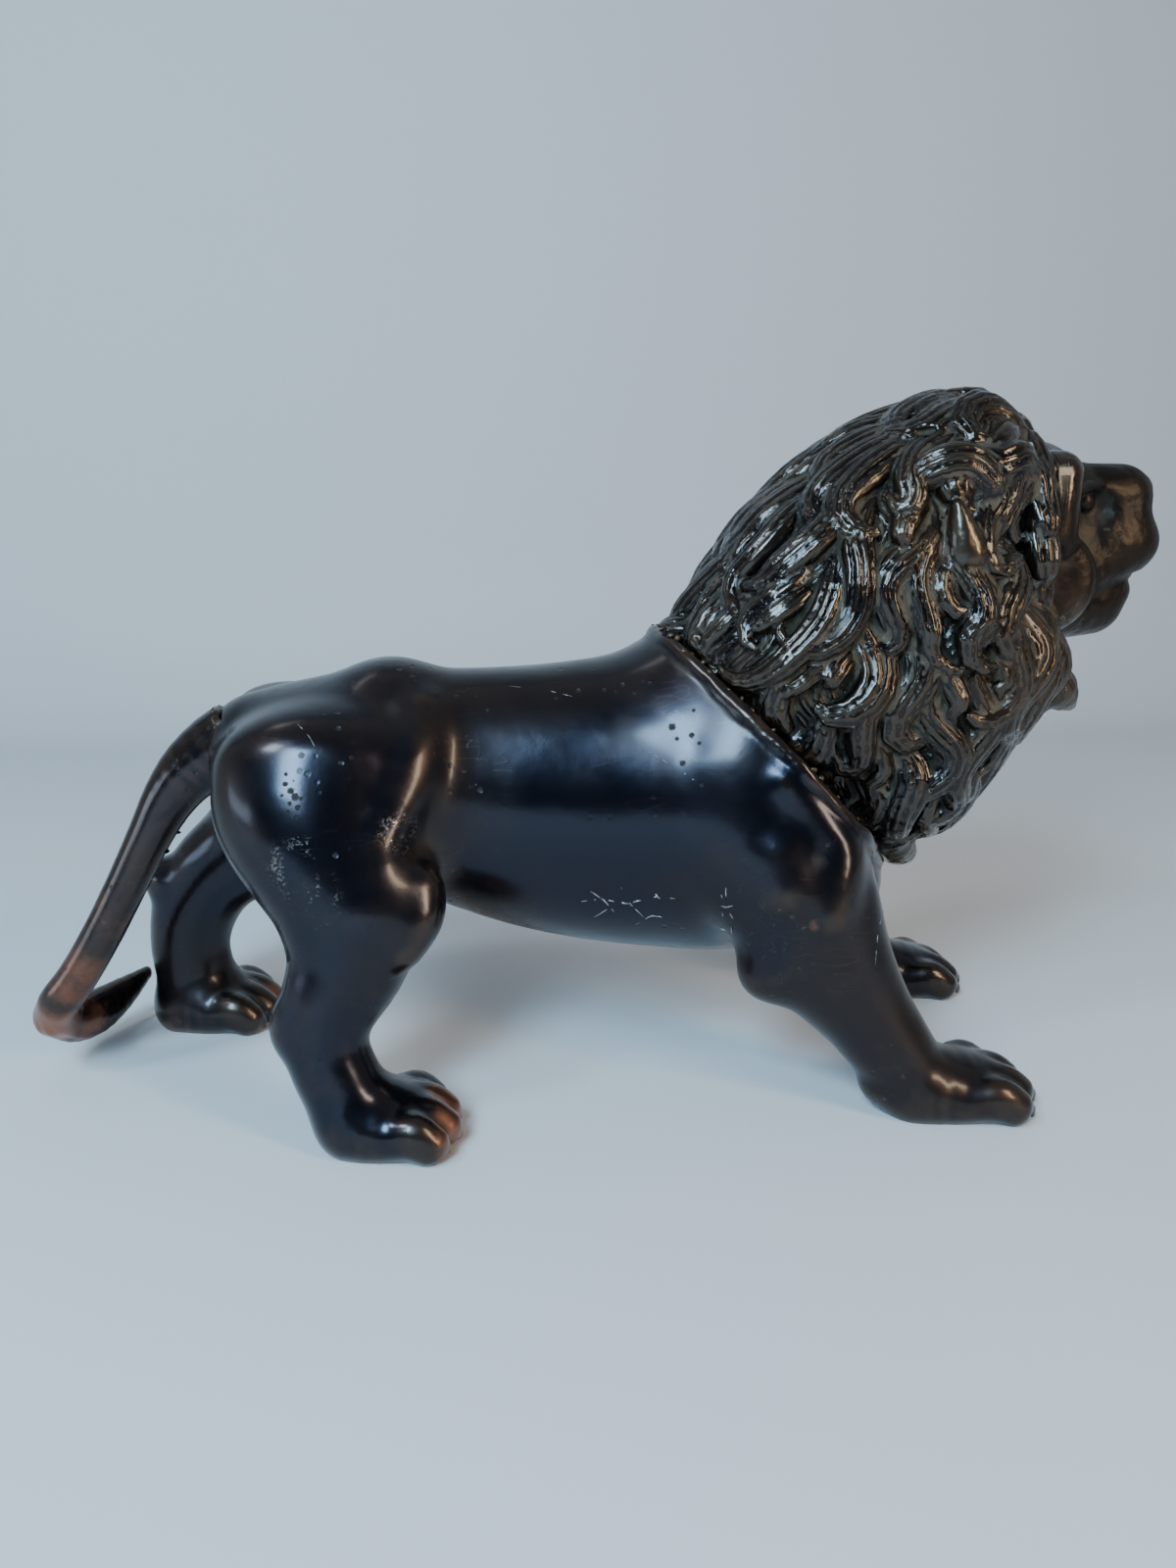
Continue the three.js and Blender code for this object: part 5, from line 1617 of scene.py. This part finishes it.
class Effects:
    """Builds each shared shader group once."""

    def __init__(self) -> None:
        """Builds them all."""
        relief = {"Relief": 0.0, "Amount": 1.0}
        self.groups = {effect: self.group(effect, inputs, make) for effect, inputs, make in (
            (Effect.PATINA, {"Scale": 20.0}, self.patina),
            (Effect.DIRT, {**relief, "Hollow": 0.0, "Scale": 120.0}, self.dirt),
            (Effect.WEAR, {**relief, "Rub": 0.0, "Scale": 160.0}, self.wear),
            (Effect.SCRATCHES, {"Amount": 1.0}, self.scratches),
            (Effect.PITS, {"Scale": 300.0, "Amount": 1.0}, self.pits),
            (Effect.CAST, {"Scale": 75.0, "Swell": 0.2, "Grain": 0.02}, self.cast),
            (Effect.STRANDS, {"Grain": 0.0, "Width": 1.0}, self.strands),
            (Effect.SPECKS, {"Region": 0.0}, self.specks))}

    @staticmethod
    def group(effect: Effect, inputs: Mapping[str, float], make: GroupMaker) -> bpy.types.NodeTree:
        """One node group with named sockets.

        Args:
            effect: Which group it is.
            inputs: The starting value of each input beside the vector.
            make: Fills the group and returns what feeds each output.

        Returns:
            The group's tree.
        """
        tree = bpy.data.node_groups.new(effect.value, "ShaderNodeTree")
        tree.interface.new_socket("Vector", in_out="INPUT", socket_type="NodeSocketVector")
        for name, start in inputs.items():
            tree.interface.new_socket(name, in_out="INPUT", socket_type="NodeSocketFloat").default_value = start
        nodes = Nodes(tree)
        made = make(nodes, nodes.put("NodeGroupInput").outputs)
        for name in made:
            tree.interface.new_socket(name, in_out="OUTPUT", socket_type="NodeSocketFloat")
        leave = nodes.put("NodeGroupOutput")
        for name, socket in made.items():
            nodes.feed(leave.inputs[name], socket)
        return tree

    @staticmethod
    def patina(n: Nodes, given: Sockets) -> Feeds:
        """Broad clouds of tone, and sparse flecks.

        Args:
            n: Adds to the group.
            given: The group's inputs.

        Returns:
            What feeds each output.
        """
        broad = n.noise(given["Vector"], given["Scale"], 4, 0.6)
        fine = n.noise(given["Vector"], n.times(given["Scale"], 22.0), 3, 0.7)
        patches = n.noise(given["Vector"], n.times(given["Scale"], 2.3), 2, 0.5)
        fleck = n.times(n.span(fine, 0.62, 0.72), n.span(patches, 0.56, 0.7))
        return {"Cloud": n.span(broad, 0.36, 0.64), "Fleck": fleck}

    @staticmethod
    def dirt(n: Nodes, given: Sockets) -> Feeds:
        """Dust and old polish left in the hollows.

        Args:
            n: Adds to the group.
            given: The group's inputs.

        Returns:
            What feeds each output.
        """
        deep = n.span(n.times(given["Hollow"], -1.0), 0.05, 0.6)
        near = n.span(n.times(given["Relief"], -1.0), 0.1, 0.8)
        both = n.most(n.times(deep, 0.8), near)
        grit = n.span(n.noise(given["Vector"], given["Scale"], 3, 0.65), 0.3, 0.62, 0.35, 1.0)
        return {"Dirt": n.times(n.times(both, grit), given["Amount"], True)}

    @staticmethod
    def wear(n: Nodes, given: Sockets) -> Feeds:
        """Thin patina along the ridges, and bare metal where it is rubbed.

        Args:
            n: Adds to the group.
            given: The group's inputs.

        Returns:
            What feeds each output.
        """
        grain = n.noise(given["Vector"], given["Scale"], 4, 0.7)
        ridge = n.span(n.maths("ADD", given["Relief"], n.times(grain, 0.5)), 0.55, 1.25)
        rubbed = n.maths("ADD", n.times(given["Rub"], 1.1), n.times(grain, 0.9))
        bare = n.span(rubbed, 0.75, 1.5)
        return {"Wear": n.times(ridge, given["Amount"], True), "Bare": bare}

    @staticmethod
    def scratches(n: Nodes, given: Sockets) -> Feeds:
        """Hairlines in three directions.

        Args:
            n: Adds to the group.
            given: The group's inputs.

        Returns:
            What feeds each output.
        """
        total = None
        for turn, scale in (((0.3, 0.9, 0.4), 260.0), ((1.2, -0.5, 0.9), 330.0), ((-0.6, 0.2, 1.4), 420.0)):
            lines = n.noise(n.stretched(given["Vector"], (0.05, 1.0, 1.0), turn), scale, 1, 0.4)
            hair = n.span(n.maths("ABSOLUTE", n.maths("SUBTRACT", lines, 0.5)), 0.0, 0.012, 1.0, 0.0)
            gate = n.span(n.noise(given["Vector"], scale * 0.16, 1, 0.5), 0.6, 0.68)
            hair = n.times(hair, gate)
            total = hair if total is None else n.most(total, hair)
        return {"Scratch": n.times(total, given["Amount"], True)}

    @staticmethod
    def pits(n: Nodes, given: Sockets) -> Feeds:
        """Pinholes of the casting, in loose swarms.

        Args:
            n: Adds to the group.
            given: The group's inputs.

        Returns:
            What feeds each output.
        """
        holes = n.span(n.cells(given["Vector"], given["Scale"]), 0.1, 0.26, 1.0, 0.0)
        swarm = n.span(n.noise(given["Vector"], 45.0, 2, 0.5), 0.56, 0.7)
        return {"Pit": n.times(n.times(holes, swarm), given["Amount"], True)}

    @staticmethod
    def cast(n: Nodes, given: Sockets) -> Feeds:
        """The skin of a hand-finished casting: slow swells under a fine grain.

        Args:
            n: Adds to the group.
            given: The group's inputs.

        Returns:
            What feeds each output.
        """
        swell = n.times(n.noise(given["Vector"], given["Scale"], 2, 0.45), given["Swell"])
        grain = n.times(n.noise(given["Vector"], 1100.0, 3, 0.6), given["Grain"])
        return {"Height": n.maths("ADD", swell, grain)}

    @staticmethod
    def strands(n: Nodes, given: Sockets) -> Feeds:
        """Fine hairs that follow the run of each lock.

        Args:
            n: Adds to the group.
            given: The group's inputs.

        Returns:
            What feeds each output.
        """
        sway = n.times(n.noise(given["Vector"], 160.0, 2, 0.5), 1.6)
        place = n.maths("ADD", n.maths("DIVIDE", given["Grain"], given["Width"]), sway)
        hair = n.maths("ABSOLUTE", n.maths("SINE", n.times(place, math.pi)))
        return {"Height": n.maths("POWER", hair, 0.7)}

    @staticmethod
    def specks(n: Nodes, given: Sockets) -> Feeds:
        """Pale dust in the pits of a rough patch.

        Args:
            n: Adds to the group.
            given: The group's inputs.

        Returns:
            What feeds each output.
        """
        dots = n.span(n.noise(given["Vector"], 1500.0, 2, 0.6), 0.52, 0.62)
        group = n.span(n.noise(given["Vector"], 160.0, 3, 0.65), 0.46, 0.6)
        region = n.span(given["Region"], 0.05, 0.7)
        return {"Speck": n.times(n.times(dots, group), region, True)}


PIT_COLOUR = (0.004, 0.003, 0.003, 1)
BARE_ROUGHNESS = 0.34
FACE_ROUGHNESS = 0.4
DULL_ROUGHNESS = 0.75
METAL = 0.92
DULL_METAL = 0.15
PIT_DEPTH = 0.3
SCRATCH_DEPTH = 0.02
SPECK_DEPTH = 0.08


@dataclass(frozen=True)
class PatinaFinish:
    """A dark patina over cast bronze. Colours are linear."""

    name: str
    ground: Colour
    brown: Colour
    thin: Colour
    dirt: Colour
    bare: Colour = (0.42, 0.16, 0.085, 1)
    fleck: Colour = (0.2, 0.16, 0.12, 1)
    cloud_scale: float = 18.0
    smooth: float = 0.16
    matt: float = 0.34
    dirt_amount: float = 1.0
    wear_amount: float = 0.6
    pit_amount: float = 0.8
    scratch_amount: float = 0.5
    dust: Colour = (0.065, 0.042, 0.022, 1)
    face: Colour = (0.014, 0.011, 0.01, 1)
    swell: float = 0.35
    swell_scale: float = 75.0
    grain: float = 0.015
    coat: float = 0.3
    coat_rough: float = 0.16
    strand: float = 0.0
    strand_width: float = 1.1

    def material(self, effects: Effects, holes: Sequence[tuple[Triple, float]] = ()) -> bpy.types.Material:
        """The finish as a material.

        Args:
            effects: The shared node groups.
            holes: The centres and the radii of larger pits, in metres.

        Returns:
            The new material.
        """
        made = bpy.data.materials.new(self.name)
        made.use_nodes = True
        made.node_tree.nodes.clear()
        n = Nodes(made.node_tree)
        shader = n.put("ShaderNodeBsdfPrincipled")
        n.feed(n.put("ShaderNodeOutputMaterial").inputs["Surface"], shader.outputs[0])
        place = n.put("ShaderNodeTexCoord").outputs["Object"]
        relief, hollow, rub, calm, grain, speckled, hair = (
            n.put("ShaderNodeAttribute", attribute_name=name).outputs["Fac"]
            for name in ("relief", "hollow", "rub", "calm", "grain", "speckled", "hair"))

        def use(effect: Effect, **values: object) -> Sockets:
            """Places a shared group with its own values."""
            return n.put("ShaderNodeGroup", {"Vector": place, **values}, node_tree=effects.groups[effect]).outputs

        patina = use(Effect.PATINA, Scale=self.cloud_scale)
        dirt = use(Effect.DIRT, Relief=relief, Hollow=hollow, Amount=self.dirt_amount)["Dirt"]
        wear = use(Effect.WEAR, Relief=relief, Rub=rub, Amount=self.wear_amount)
        scratch = use(Effect.SCRATCHES, Amount=self.scratch_amount)["Scratch"]
        pit = use(Effect.PITS, Amount=self.pit_amount)["Pit"]
        ragged = n.level(0.5, n.noise(place, 1300.0, 2, 0.6), 0.0)
        for centre, radius in holes:
            away = n.call("ShaderNodeVectorMath", "Value", {0: place, 1: centre}, operation="DISTANCE")
            edge = n.maths("ADD", away, n.times(ragged, 1.6 * radius))
            pit = n.most(pit, n.span(edge, radius, 1.4 * radius, 1.0, 0.0))
        colour = n.blend(patina["Cloud"], self.ground, self.brown)
        colour = n.blend(n.times(patina["Fleck"], 0.35), colour, self.fleck)
        colour = n.blend(wear["Wear"], colour, self.thin)
        colour = n.blend(n.times(scratch, 0.5), colour, self.thin)
        colour = n.blend(wear["Bare"], colour, self.bare)
        dirt = n.times(dirt, n.span(calm, 0.0, 1.0, 1.0, 0.3))
        colour = n.blend(n.times(calm, 0.75), colour, self.face)
        colour = n.blend(dirt, colour, n.blend(patina["Cloud"], self.dirt, self.dust))
        colour = n.blend(n.times(pit, 0.85), colour, PIT_COLOUR)
        speck = use(Effect.SPECKS, Region=speckled)["Speck"]
        colour = n.blend(n.times(speck, 0.75), colour, self.fleck)
        n.feed(shader.inputs["Base Color"], colour)
        dull = n.most(dirt, pit)
        rough = n.level(patina["Cloud"], self.smooth, self.matt)
        rough = n.level(n.times(wear["Bare"], 0.6), rough, BARE_ROUGHNESS)
        rough = n.level(calm, rough, FACE_ROUGHNESS)
        n.feed(shader.inputs["Roughness"], n.level(dull, rough, DULL_ROUGHNESS))
        n.feed(shader.inputs["Metallic"], n.level(dull, METAL, DULL_METAL))
        n.feed(shader.inputs["Coat Weight"], n.level(n.most(dull, calm), self.coat, 0.0))
        shader.inputs["Coat Roughness"].default_value = self.coat_rough
        height = use(Effect.CAST, Scale=self.swell_scale, Swell=self.swell, Grain=self.grain)["Height"]
        for mask, depth in ((pit, PIT_DEPTH), (scratch, SCRATCH_DEPTH), (speck, SPECK_DEPTH)):
            height = n.maths("SUBTRACT", height, n.times(mask, depth))
        if self.strand:
            hairs = use(Effect.STRANDS, Grain=grain, Width=self.strand_width)["Height"]
            height = n.maths("ADD", height, n.times(hairs, n.times(hair, self.strand)))
        n.feed(shader.inputs["Normal"], n.call("ShaderNodeBump", 0, {"Distance": MM, "Height": height}))
        return made


BODY_FINISH = PatinaFinish(
    "body_patina", ground=(0.014, 0.015, 0.025, 1), brown=(0.026, 0.02, 0.02, 1), thin=(0.13, 0.085, 0.05, 1),
    dirt=(0.05, 0.042, 0.034, 1), bare=(0.24, 0.105, 0.066, 1), fleck=(0.22, 0.2, 0.17, 1), smooth=0.2, matt=0.38,
    dirt_amount=0.35, wear_amount=0.25, scratch_amount=0.3, grain=0.02)
MANE_FINISH = PatinaFinish(
    "mane_patina", ground=(0.012, 0.011, 0.013, 1), brown=(0.024, 0.016, 0.011, 1), thin=(0.11, 0.085, 0.06, 1),
    dirt=(0.055, 0.048, 0.031, 1), cloud_scale=30.0, dirt_amount=1.0, wear_amount=0.4, swell=0.5,
    swell_scale=240.0, smooth=0.18, matt=0.34, coat=0.4, coat_rough=0.1, strand=0.13, strand_width=1.3)
TAIL_FINISH = PatinaFinish(
    "tail_patina", ground=(0.014, 0.013, 0.018, 1), brown=(0.026, 0.018, 0.017, 1), thin=(0.11, 0.07, 0.05, 1),
    dirt=(0.05, 0.04, 0.03, 1), bare=(0.27, 0.1, 0.056, 1), cloud_scale=40.0, dirt_amount=0.5, wear_amount=0.3,
    swell=0.2, smooth=0.22, matt=0.36)
SOLDER_FINISH = PatinaFinish(
    "solder", ground=(0.06, 0.042, 0.028, 1), brown=(0.1, 0.066, 0.04, 1), thin=(0.24, 0.19, 0.14, 1),
    dirt=(0.05, 0.042, 0.03, 1), cloud_scale=80.0, smooth=0.3, matt=0.5, pit_amount=0.0)
STROKE_FINISH = PatinaFinish(
    "scratched_metal", ground=(0.42, 0.42, 0.44, 1), brown=(0.26, 0.24, 0.22, 1), thin=(0.5, 0.48, 0.45, 1),
    dirt=(0.05, 0.042, 0.03, 1), cloud_scale=120.0, smooth=0.25, matt=0.45, pit_amount=0.0, scratch_amount=0.0,
    swell=0.0)


class PathWork(Enum):
    """What Geometry Nodes can make along a path."""

    GRAINS = "grains_along_path"
    STROKES = "strokes_along_path"


class PathWorks:
    """The two Geometry Nodes trees: grains strewn along a path, and strokes drawn along one."""

    def __init__(self) -> None:
        """Builds both trees."""
        sizes = {"Spacing": "Float", "Least": "Vector", "Most": "Vector", "Spread": "Vector", "Seed": "Int"}
        self.trees = {
            PathWork.GRAINS: self.tree(PathWork.GRAINS, sizes, self.grains),
            PathWork.STROKES: self.tree(PathWork.STROKES, {"Spacing": "Float", "Radius": "Float"}, self.strokes)}

    @staticmethod
    def tree(work: PathWork, inputs: Mapping[str, str], make: PathMaker) -> bpy.types.NodeTree:
        """A tree with named inputs that ends in real geometry with its finish.

        Args:
            work: What the tree makes.
            inputs: The names and the kinds of its own inputs.
            make: Makes the geometry from the path and the inputs.

        Returns:
            The tree.
        """
        tree = bpy.data.node_groups.new(work.value, "GeometryNodeTree")
        for name, kind in {"Path": "Geometry", **inputs, "Finish": "Material"}.items():
            tree.interface.new_socket(name, in_out="INPUT", socket_type="NodeSocket" + kind)
        tree.interface.new_socket("Geometry", in_out="OUTPUT", socket_type="NodeSocketGeometry")
        n = Nodes(tree)
        given = n.put("NodeGroupInput").outputs
        curve = n.call("GeometryNodeMeshToCurve", 0, {"Mesh": given["Path"]})
        points = n.call("GeometryNodeResampleCurve", 0, {"Curve": curve, "Length": given["Spacing"]}, mode="LENGTH")
        smooth = n.call("GeometryNodeSetShadeSmooth", 0, {0: make(n, given, points)})
        real = n.call("GeometryNodeRealizeInstances", 0, {0: smooth})
        finished = n.call("GeometryNodeSetMaterial", 0, {"Geometry": real, "Material": given["Finish"]})
        n.feed(n.put("NodeGroupOutput").inputs[0], finished)
        return tree

    @staticmethod
    def chance(n: Nodes, low: object, high: object, seed: Socket, turn: float) -> Socket:
        """A random vector between two, from the tree's seed."""
        given = {0: low, 1: high, "Seed": n.maths("ADD", seed, turn)}
        return n.call("FunctionNodeRandomValue", 0, given, data_type="FLOAT_VECTOR")

    @staticmethod
    def grains(n: Nodes, given: Sockets, curve: Socket) -> Socket:
        """Uneven round grains, strewn about the path.

        Args:
            n: Adds to the tree.
            given: The tree's inputs.
            curve: The path, in even steps.

        Returns:
            The grains as instances.
        """
        spread, seed = given["Spread"], given["Seed"]
        back = n.call("ShaderNodeVectorMath", 0, {0: spread, "Scale": -1.0}, operation="SCALE")
        moved = n.call("GeometryNodeSetPosition", 0, {
            "Geometry": curve, "Offset": PathWorks.chance(n, back, spread, seed, 1.0)})
        grain = n.call("GeometryNodeMeshIcoSphere", 0, {"Radius": 1.0, "Subdivisions": 2})
        return n.call("GeometryNodeInstanceOnPoints", 0, {
            "Points": moved, "Instance": grain,
            "Rotation": PathWorks.chance(n, (0, 0, 0), (6.28, 6.28, 6.28), seed, 2.0),
            "Scale": PathWorks.chance(n, given["Least"], given["Most"], seed, 3.0)})

    @staticmethod
    def strokes(n: Nodes, given: Sockets, curve: Socket) -> Socket:
        """Strokes with a thin start and end.

        Args:
            n: Adds to the tree.
            given: The tree's inputs.
            curve: The path, in even steps.

        Returns:
            The strokes as mesh.
        """
        share = n.put("GeometryNodeSplineParameter").outputs["Factor"]
        belly = n.maths("POWER", n.maths("SINE", n.times(share, 3.1)), 0.6)
        outline = n.call("GeometryNodeCurvePrimitiveCircle", 0, {"Resolution": 6, "Radius": given["Radius"]})
        return n.call("GeometryNodeCurveToMesh", 0, {
            "Curve": curve, "Profile Curve": outline, "Scale": n.most(belly, 0.15),
            "Fill Caps": True})

    def make(self, name: str, work: PathWork, paths: list[Rows], finish: bpy.types.Material,
             **values: object) -> Piece:
        """Runs one of the trees on its paths and keeps the result as a plain mesh.

        Args:
            name: The new object's name.
            work: The tree to run.
            paths: Rows of points in the lion's millimetres.
            finish: The finish of what is made.
            **values: The tree's inputs by name; lengths in metres.

        Returns:
            The finished object, at the origin.
        """
        path = bpy.data.meshes.new(name + "_path")
        first = np.cumsum([0] + [len(p) for p in paths])
        edges = [(i, i + 1) for a, b in zip(first, first[1:]) for i in range(a, b - 1)]
        path.from_pydata(to_frame(np.concatenate(paths)).tolist(), edges, [])
        source = linked(name, path)
        run = source.modifiers.new(work.value, "NODES")
        run.node_group = self.trees[work]
        ids = {item.name: item.identifier for item in run.node_group.interface.items_tree
               if item.in_out == "INPUT"}
        run[ids["Finish"]] = finish
        for key, value in values.items():
            run[ids[key.capitalize()]] = value
        bpy.context.view_layer.update()
        seen = source.evaluated_get(bpy.context.evaluated_depsgraph_get())
        mesh = bpy.data.meshes.new_from_object(seen)
        source.modifiers.remove(run)
        source.data = mesh
        return source


@dataclass(frozen=True)
class Traces:
    """The small leavings of hand work: solder at the joints, burrs under the tail and strokes on the flank."""

    strokes: tuple[tuple[Pixel, ...], ...] = (
        ((586, 921), (612, 917), (640, 922), (668, 915), (690, 917)), ((600, 908), (616, 918), (628, 932)),
        ((634, 906), (642, 921), (657, 936)), ((662, 904), (671, 915), (688, 927)), ((606, 936), (622, 926)),
        ((648, 944), (664, 934), (676, 936)),
        ((735, 906), (737, 917)), ((741, 905), (740, 914), (745, 920)), ((733, 923), (741, 926), (748, 924)),
        ((737, 931), (739, 941)), ((744, 930), (748, 938)), ((734, 947), (742, 950)), ((746, 945), (747, 953)))
    hairlines: tuple[tuple[Pixel, ...], ...] = (
        ((640, 755), (664, 768), (690, 784), (715, 800)), ((300, 735), (316, 752), (328, 775)),
        ((520, 700), (556, 704), (590, 712)), ((905, 915), (896, 950), (893, 985)))
    burrs: tuple[Triple, ...] = ((-131.8, 0, 72), (-133.6, 0.4, 69), (-135.4, 0, 66), (-137, 0, 63.4))
    pixel_step: float = 4.0

    def drawn(self, clay: Clay, pixels: Sequence[Pixel]) -> Rows:
        """A path along the surface below pixels of the photograph.

        Args:
            clay: The body's clay.
            pixels: Pixels across and down.

        Returns:
            Rows of points on the surface.
        """
        row = np.array(pixels, float)
        far = np.concatenate([[0], np.cumsum(np.linalg.norm(np.diff(row, axis=0), axis=1))])
        t = np.linspace(0, far[-1], max(int(far[-1] / self.pixel_step), 3))
        at = [SIGHT.point(clay, np.interp(a, far, row[:, 0]), np.interp(a, far, row[:, 1])) for a in t]
        return np.array([p for p in at if p is not None])

    @staticmethod
    def ring(centre: Rows, a: Rows, b: Rows, start: float, end: float) -> Rows:
        """A stretch of an ellipse, from its middle and two half axes."""
        turn = np.linspace(start, end, 60)
        return centre + np.outer(np.cos(turn), a) + np.outer(np.sin(turn), b)

    def build(self, works: PathWorks, effects: Effects, clay: Clay) -> None:
        """Makes them all and gives each its place in the frame.

        Args:
            works: What runs along paths.
            effects: The shared node groups.
            clay: The body's clay.
        """
        solder = SOLDER_FINISH.material(effects)
        scratched = STROKE_FINISH.material(effects)
        tail_metal = TAIL_FINISH.material(effects)
        middle = NECK_CENTRE - 0.4 * NECK_NORMAL
        wide = np.array([0, NECK_HALF_WIDTH + 1.2, 0])
        seam = self.ring(middle, (NECK_HALF_LENGTH + 1.2) * NECK_DOWN, wide, -math.pi, math.pi)
        strip = self.ring(middle, (NECK_HALF_LENGTH + 1.4) * NECK_DOWN, wide, -0.95, -0.2)
        axis = TailCasting.AXIS
        seat = self.ring(TailCasting.ROOT + 1.6 * axis, np.array([0, 8.3, 0]),
                         9.1 * np.array([-axis[2], 0, axis[0]]), 0, 2 * math.pi)
        made = [(works.make(name, PathWork.GRAINS, [path], finish, spacing=step * MM, least=[low * MM] * 3,
                            most=[high * MM] * 3, spread=[a * MM for a in spread], seed=seed), slot)
                for name, path, finish, slot, step, low, high, spread, seed in (
            ("neck_solder", seam, solder, "body_metal", 3.4, 0.3, 1.0, (0.8, 0.8, 0.8), 4),
            ("solder_strip", strip, solder, "body_metal", 0.8, 0.5, 1.2, (0.7, 0.7, 0.7), 9),
            ("tail_solder", seat, solder, "tail_metal", 1.1, 0.4, 0.9, (0.4, 0.4, 0.4), 2),
            ("tail_burrs", np.array(self.burrs), tail_metal, "tail_metal", 1.3, 0.4, 1.2, (0.5, 2.6, 0.5), 11))]
        for name, rows, step, radius in (("flank_strokes", self.strokes, 0.6, 0.2),
                                         ("flank_hairlines", self.hairlines, 0.8, 0.09)):
            paths = [self.drawn(clay, row) for row in rows]
            made.append((works.make(name, PathWork.STROKES, paths, scratched, spacing=step * MM,
                                    radius=radius * MM), "body_metal"))
        for piece, slot in made:
            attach(piece, "root")
            LOG.info("%s: %d faces", piece.name, len(piece.data.polygons))


@dataclass(frozen=True)
class SoftBox:
    """A soft studio light."""

    name: str
    place: Triple
    aim: Triple
    size: tuple[float, float]
    power: float
    colour: Triple

    def build(self) -> None:
        """Adds the light to the scene."""
        lamp = bpy.data.lights.new(self.name, "AREA")
        lamp.shape = "RECTANGLE"
        lamp.size, lamp.size_y = self.size
        lamp.energy = self.power
        lamp.color = self.colour
        made = linked(self.name, lamp)
        made.location = self.place
        made.rotation_euler = (Vector(self.aim) - Vector(self.place)).to_track_quat("-Z", "Y").to_euler()


@dataclass
class Studio:
    """The camera, the lights, the floor and the backdrop."""

    lights: tuple[SoftBox, ...] = (
        SoftBox("sky_window", (-0.35, -0.66, 0.6), (-0.02, 0, 0.09), (0.24, 0.4), 13, (0.44, 0.73, 1.0)),
        SoftBox("warm_lamp", (0.56, -0.6, 0.42), (-0.02, 0, 0.08), (0.12, 0.5), 4.5, (1.0, 0.8, 0.56)),
        SoftBox("high_window", (-0.58, -0.42, 0.82), (0.04, 0, 0.12), (0.18, 0.18), 3.5, (0.66, 0.83, 1.0)),
        SoftBox("left_window", (-0.95, -0.27, 0.14), (-0.1, 0, 0.05), (0.42, 0.13), 1.2, (0.62, 0.81, 1.0)),
        SoftBox("back_fill", (-0.3, 0.9, 1.3), (0, 0, 0.05), (1.2, 0.8), 14, (1.0, 0.97, 0.93)))
    floor_size: float = 3.0
    floor_colour: Colour = (0.62, 0.625, 0.63, 1)
    floor_roughness: float = 0.7
    wall_distance: float = 0.55
    wall_height: float = 1.6
    wall_bend: float = 0.12
    bend_steps: int = 12
    sky_front: Colour = (0.1, 0.115, 0.16, 1)
    sky_back: Colour = (1, 1, 1, 1)
    sky_strength: float = 0.55

    def camera(self) -> None:
        """The photograph's camera."""
        right, down, forward = SIGHT.axes()
        data = bpy.data.cameras.new("photo_camera")
        data.sensor_width = SIGHT.sensor
        data.lens = SIGHT.sensor * SIGHT.focal / SIGHT.height
        data.clip_start, data.clip_end = 0.01, 20
        made = linked("photo_camera", data)
        made.matrix_world = Matrix.Translation(to_frame(np.array(SIGHT.place))) @ Matrix(
            np.stack([right, -down, -forward], axis=1).tolist()).to_4x4()
        bpy.context.scene.camera = made

    def floor(self) -> None:
        """A plain pale floor that curves up into a backdrop."""
        half, bend = self.floor_size / 2, self.wall_bend
        profile = [(-half, 0.0), (self.wall_distance - bend, 0.0)]
        for i in range(1, self.bend_steps + 1):
            a = math.pi / 2 * i / self.bend_steps
            profile.append((self.wall_distance - bend + bend * math.sin(a), bend - bend * math.cos(a)))
        profile.append((self.wall_distance, self.wall_height))
        n = len(profile)
        mesh = bpy.data.meshes.new("studio_floor")
        mesh.from_pydata([(x, y, z) for x in (-half, half) for y, z in profile], [],
                         [(i, i + n, i + n + 1, i + 1) for i in range(n - 1)])
        mesh.shade_smooth()
        made = linked("studio_floor", mesh)
        finish = bpy.data.materials.new("pale_floor")
        finish.use_nodes = True
        shader = finish.node_tree.nodes["Principled BSDF"]
        shader.inputs["Base Color"].default_value = self.floor_colour
        shader.inputs["Roughness"].default_value = self.floor_roughness
        mesh.materials.append(finish)

    def world(self) -> None:
        """Soft light from all round, paler behind the lion than in front of it."""
        world = bpy.data.worlds.new("studio")
        world.use_nodes = True
        bpy.context.scene.world = world
        n = Nodes(world.node_tree)
        back = world.node_tree.nodes["Background"]
        aim = n.call("ShaderNodeSeparateXYZ", "Y", {0: n.put("ShaderNodeTexCoord").outputs["Generated"]})
        n.feed(back.inputs["Color"], n.blend(n.span(aim, -0.7, 0.5), self.sky_front, self.sky_back))
        back.inputs["Strength"].default_value = self.sky_strength

    def build(self) -> None:
        """Sets up the whole studio."""
        self.camera()
        self.floor()
        self.world()
        for light in self.lights:
            light.build()


def dress(made: Piece, finish: bpy.types.Material, node: str) -> None:
    """Gives a casting its finish and its place in the frame.

    Args:
        made: The casting.
        finish: Its finish.
        node: The node of the frame that it replaces.
    """
    made.data.materials.clear()
    made.data.materials.append(finish)
    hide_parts(node)
    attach(made, "root")
    LOG.info("%s: %d triangles", made.name, len(made.data.polygons))


def main() -> None:
    """Builds the lion and its studio."""
    logging.basicConfig(level=logging.INFO, format="%(name)s: %(message)s")
    Studio().build()
    effects = Effects()
    tail = TailCasting()
    tail_clay = tail.sculpt()
    casting = BodyCasting()
    clay = casting.sculpt()
    dress(casting.build(clay, tail_clay), BODY_FINISH.material(effects, casting.holes(clay)), "body")
    dress(tail.build(tail_clay), TAIL_FINISH.material(effects), "tail")
    dress(ManeCasting().build(), MANE_FINISH.material(effects), "head_and_mane")
    Traces().build(PathWorks(), effects, clay)


if __name__ == "__main__":
    main()
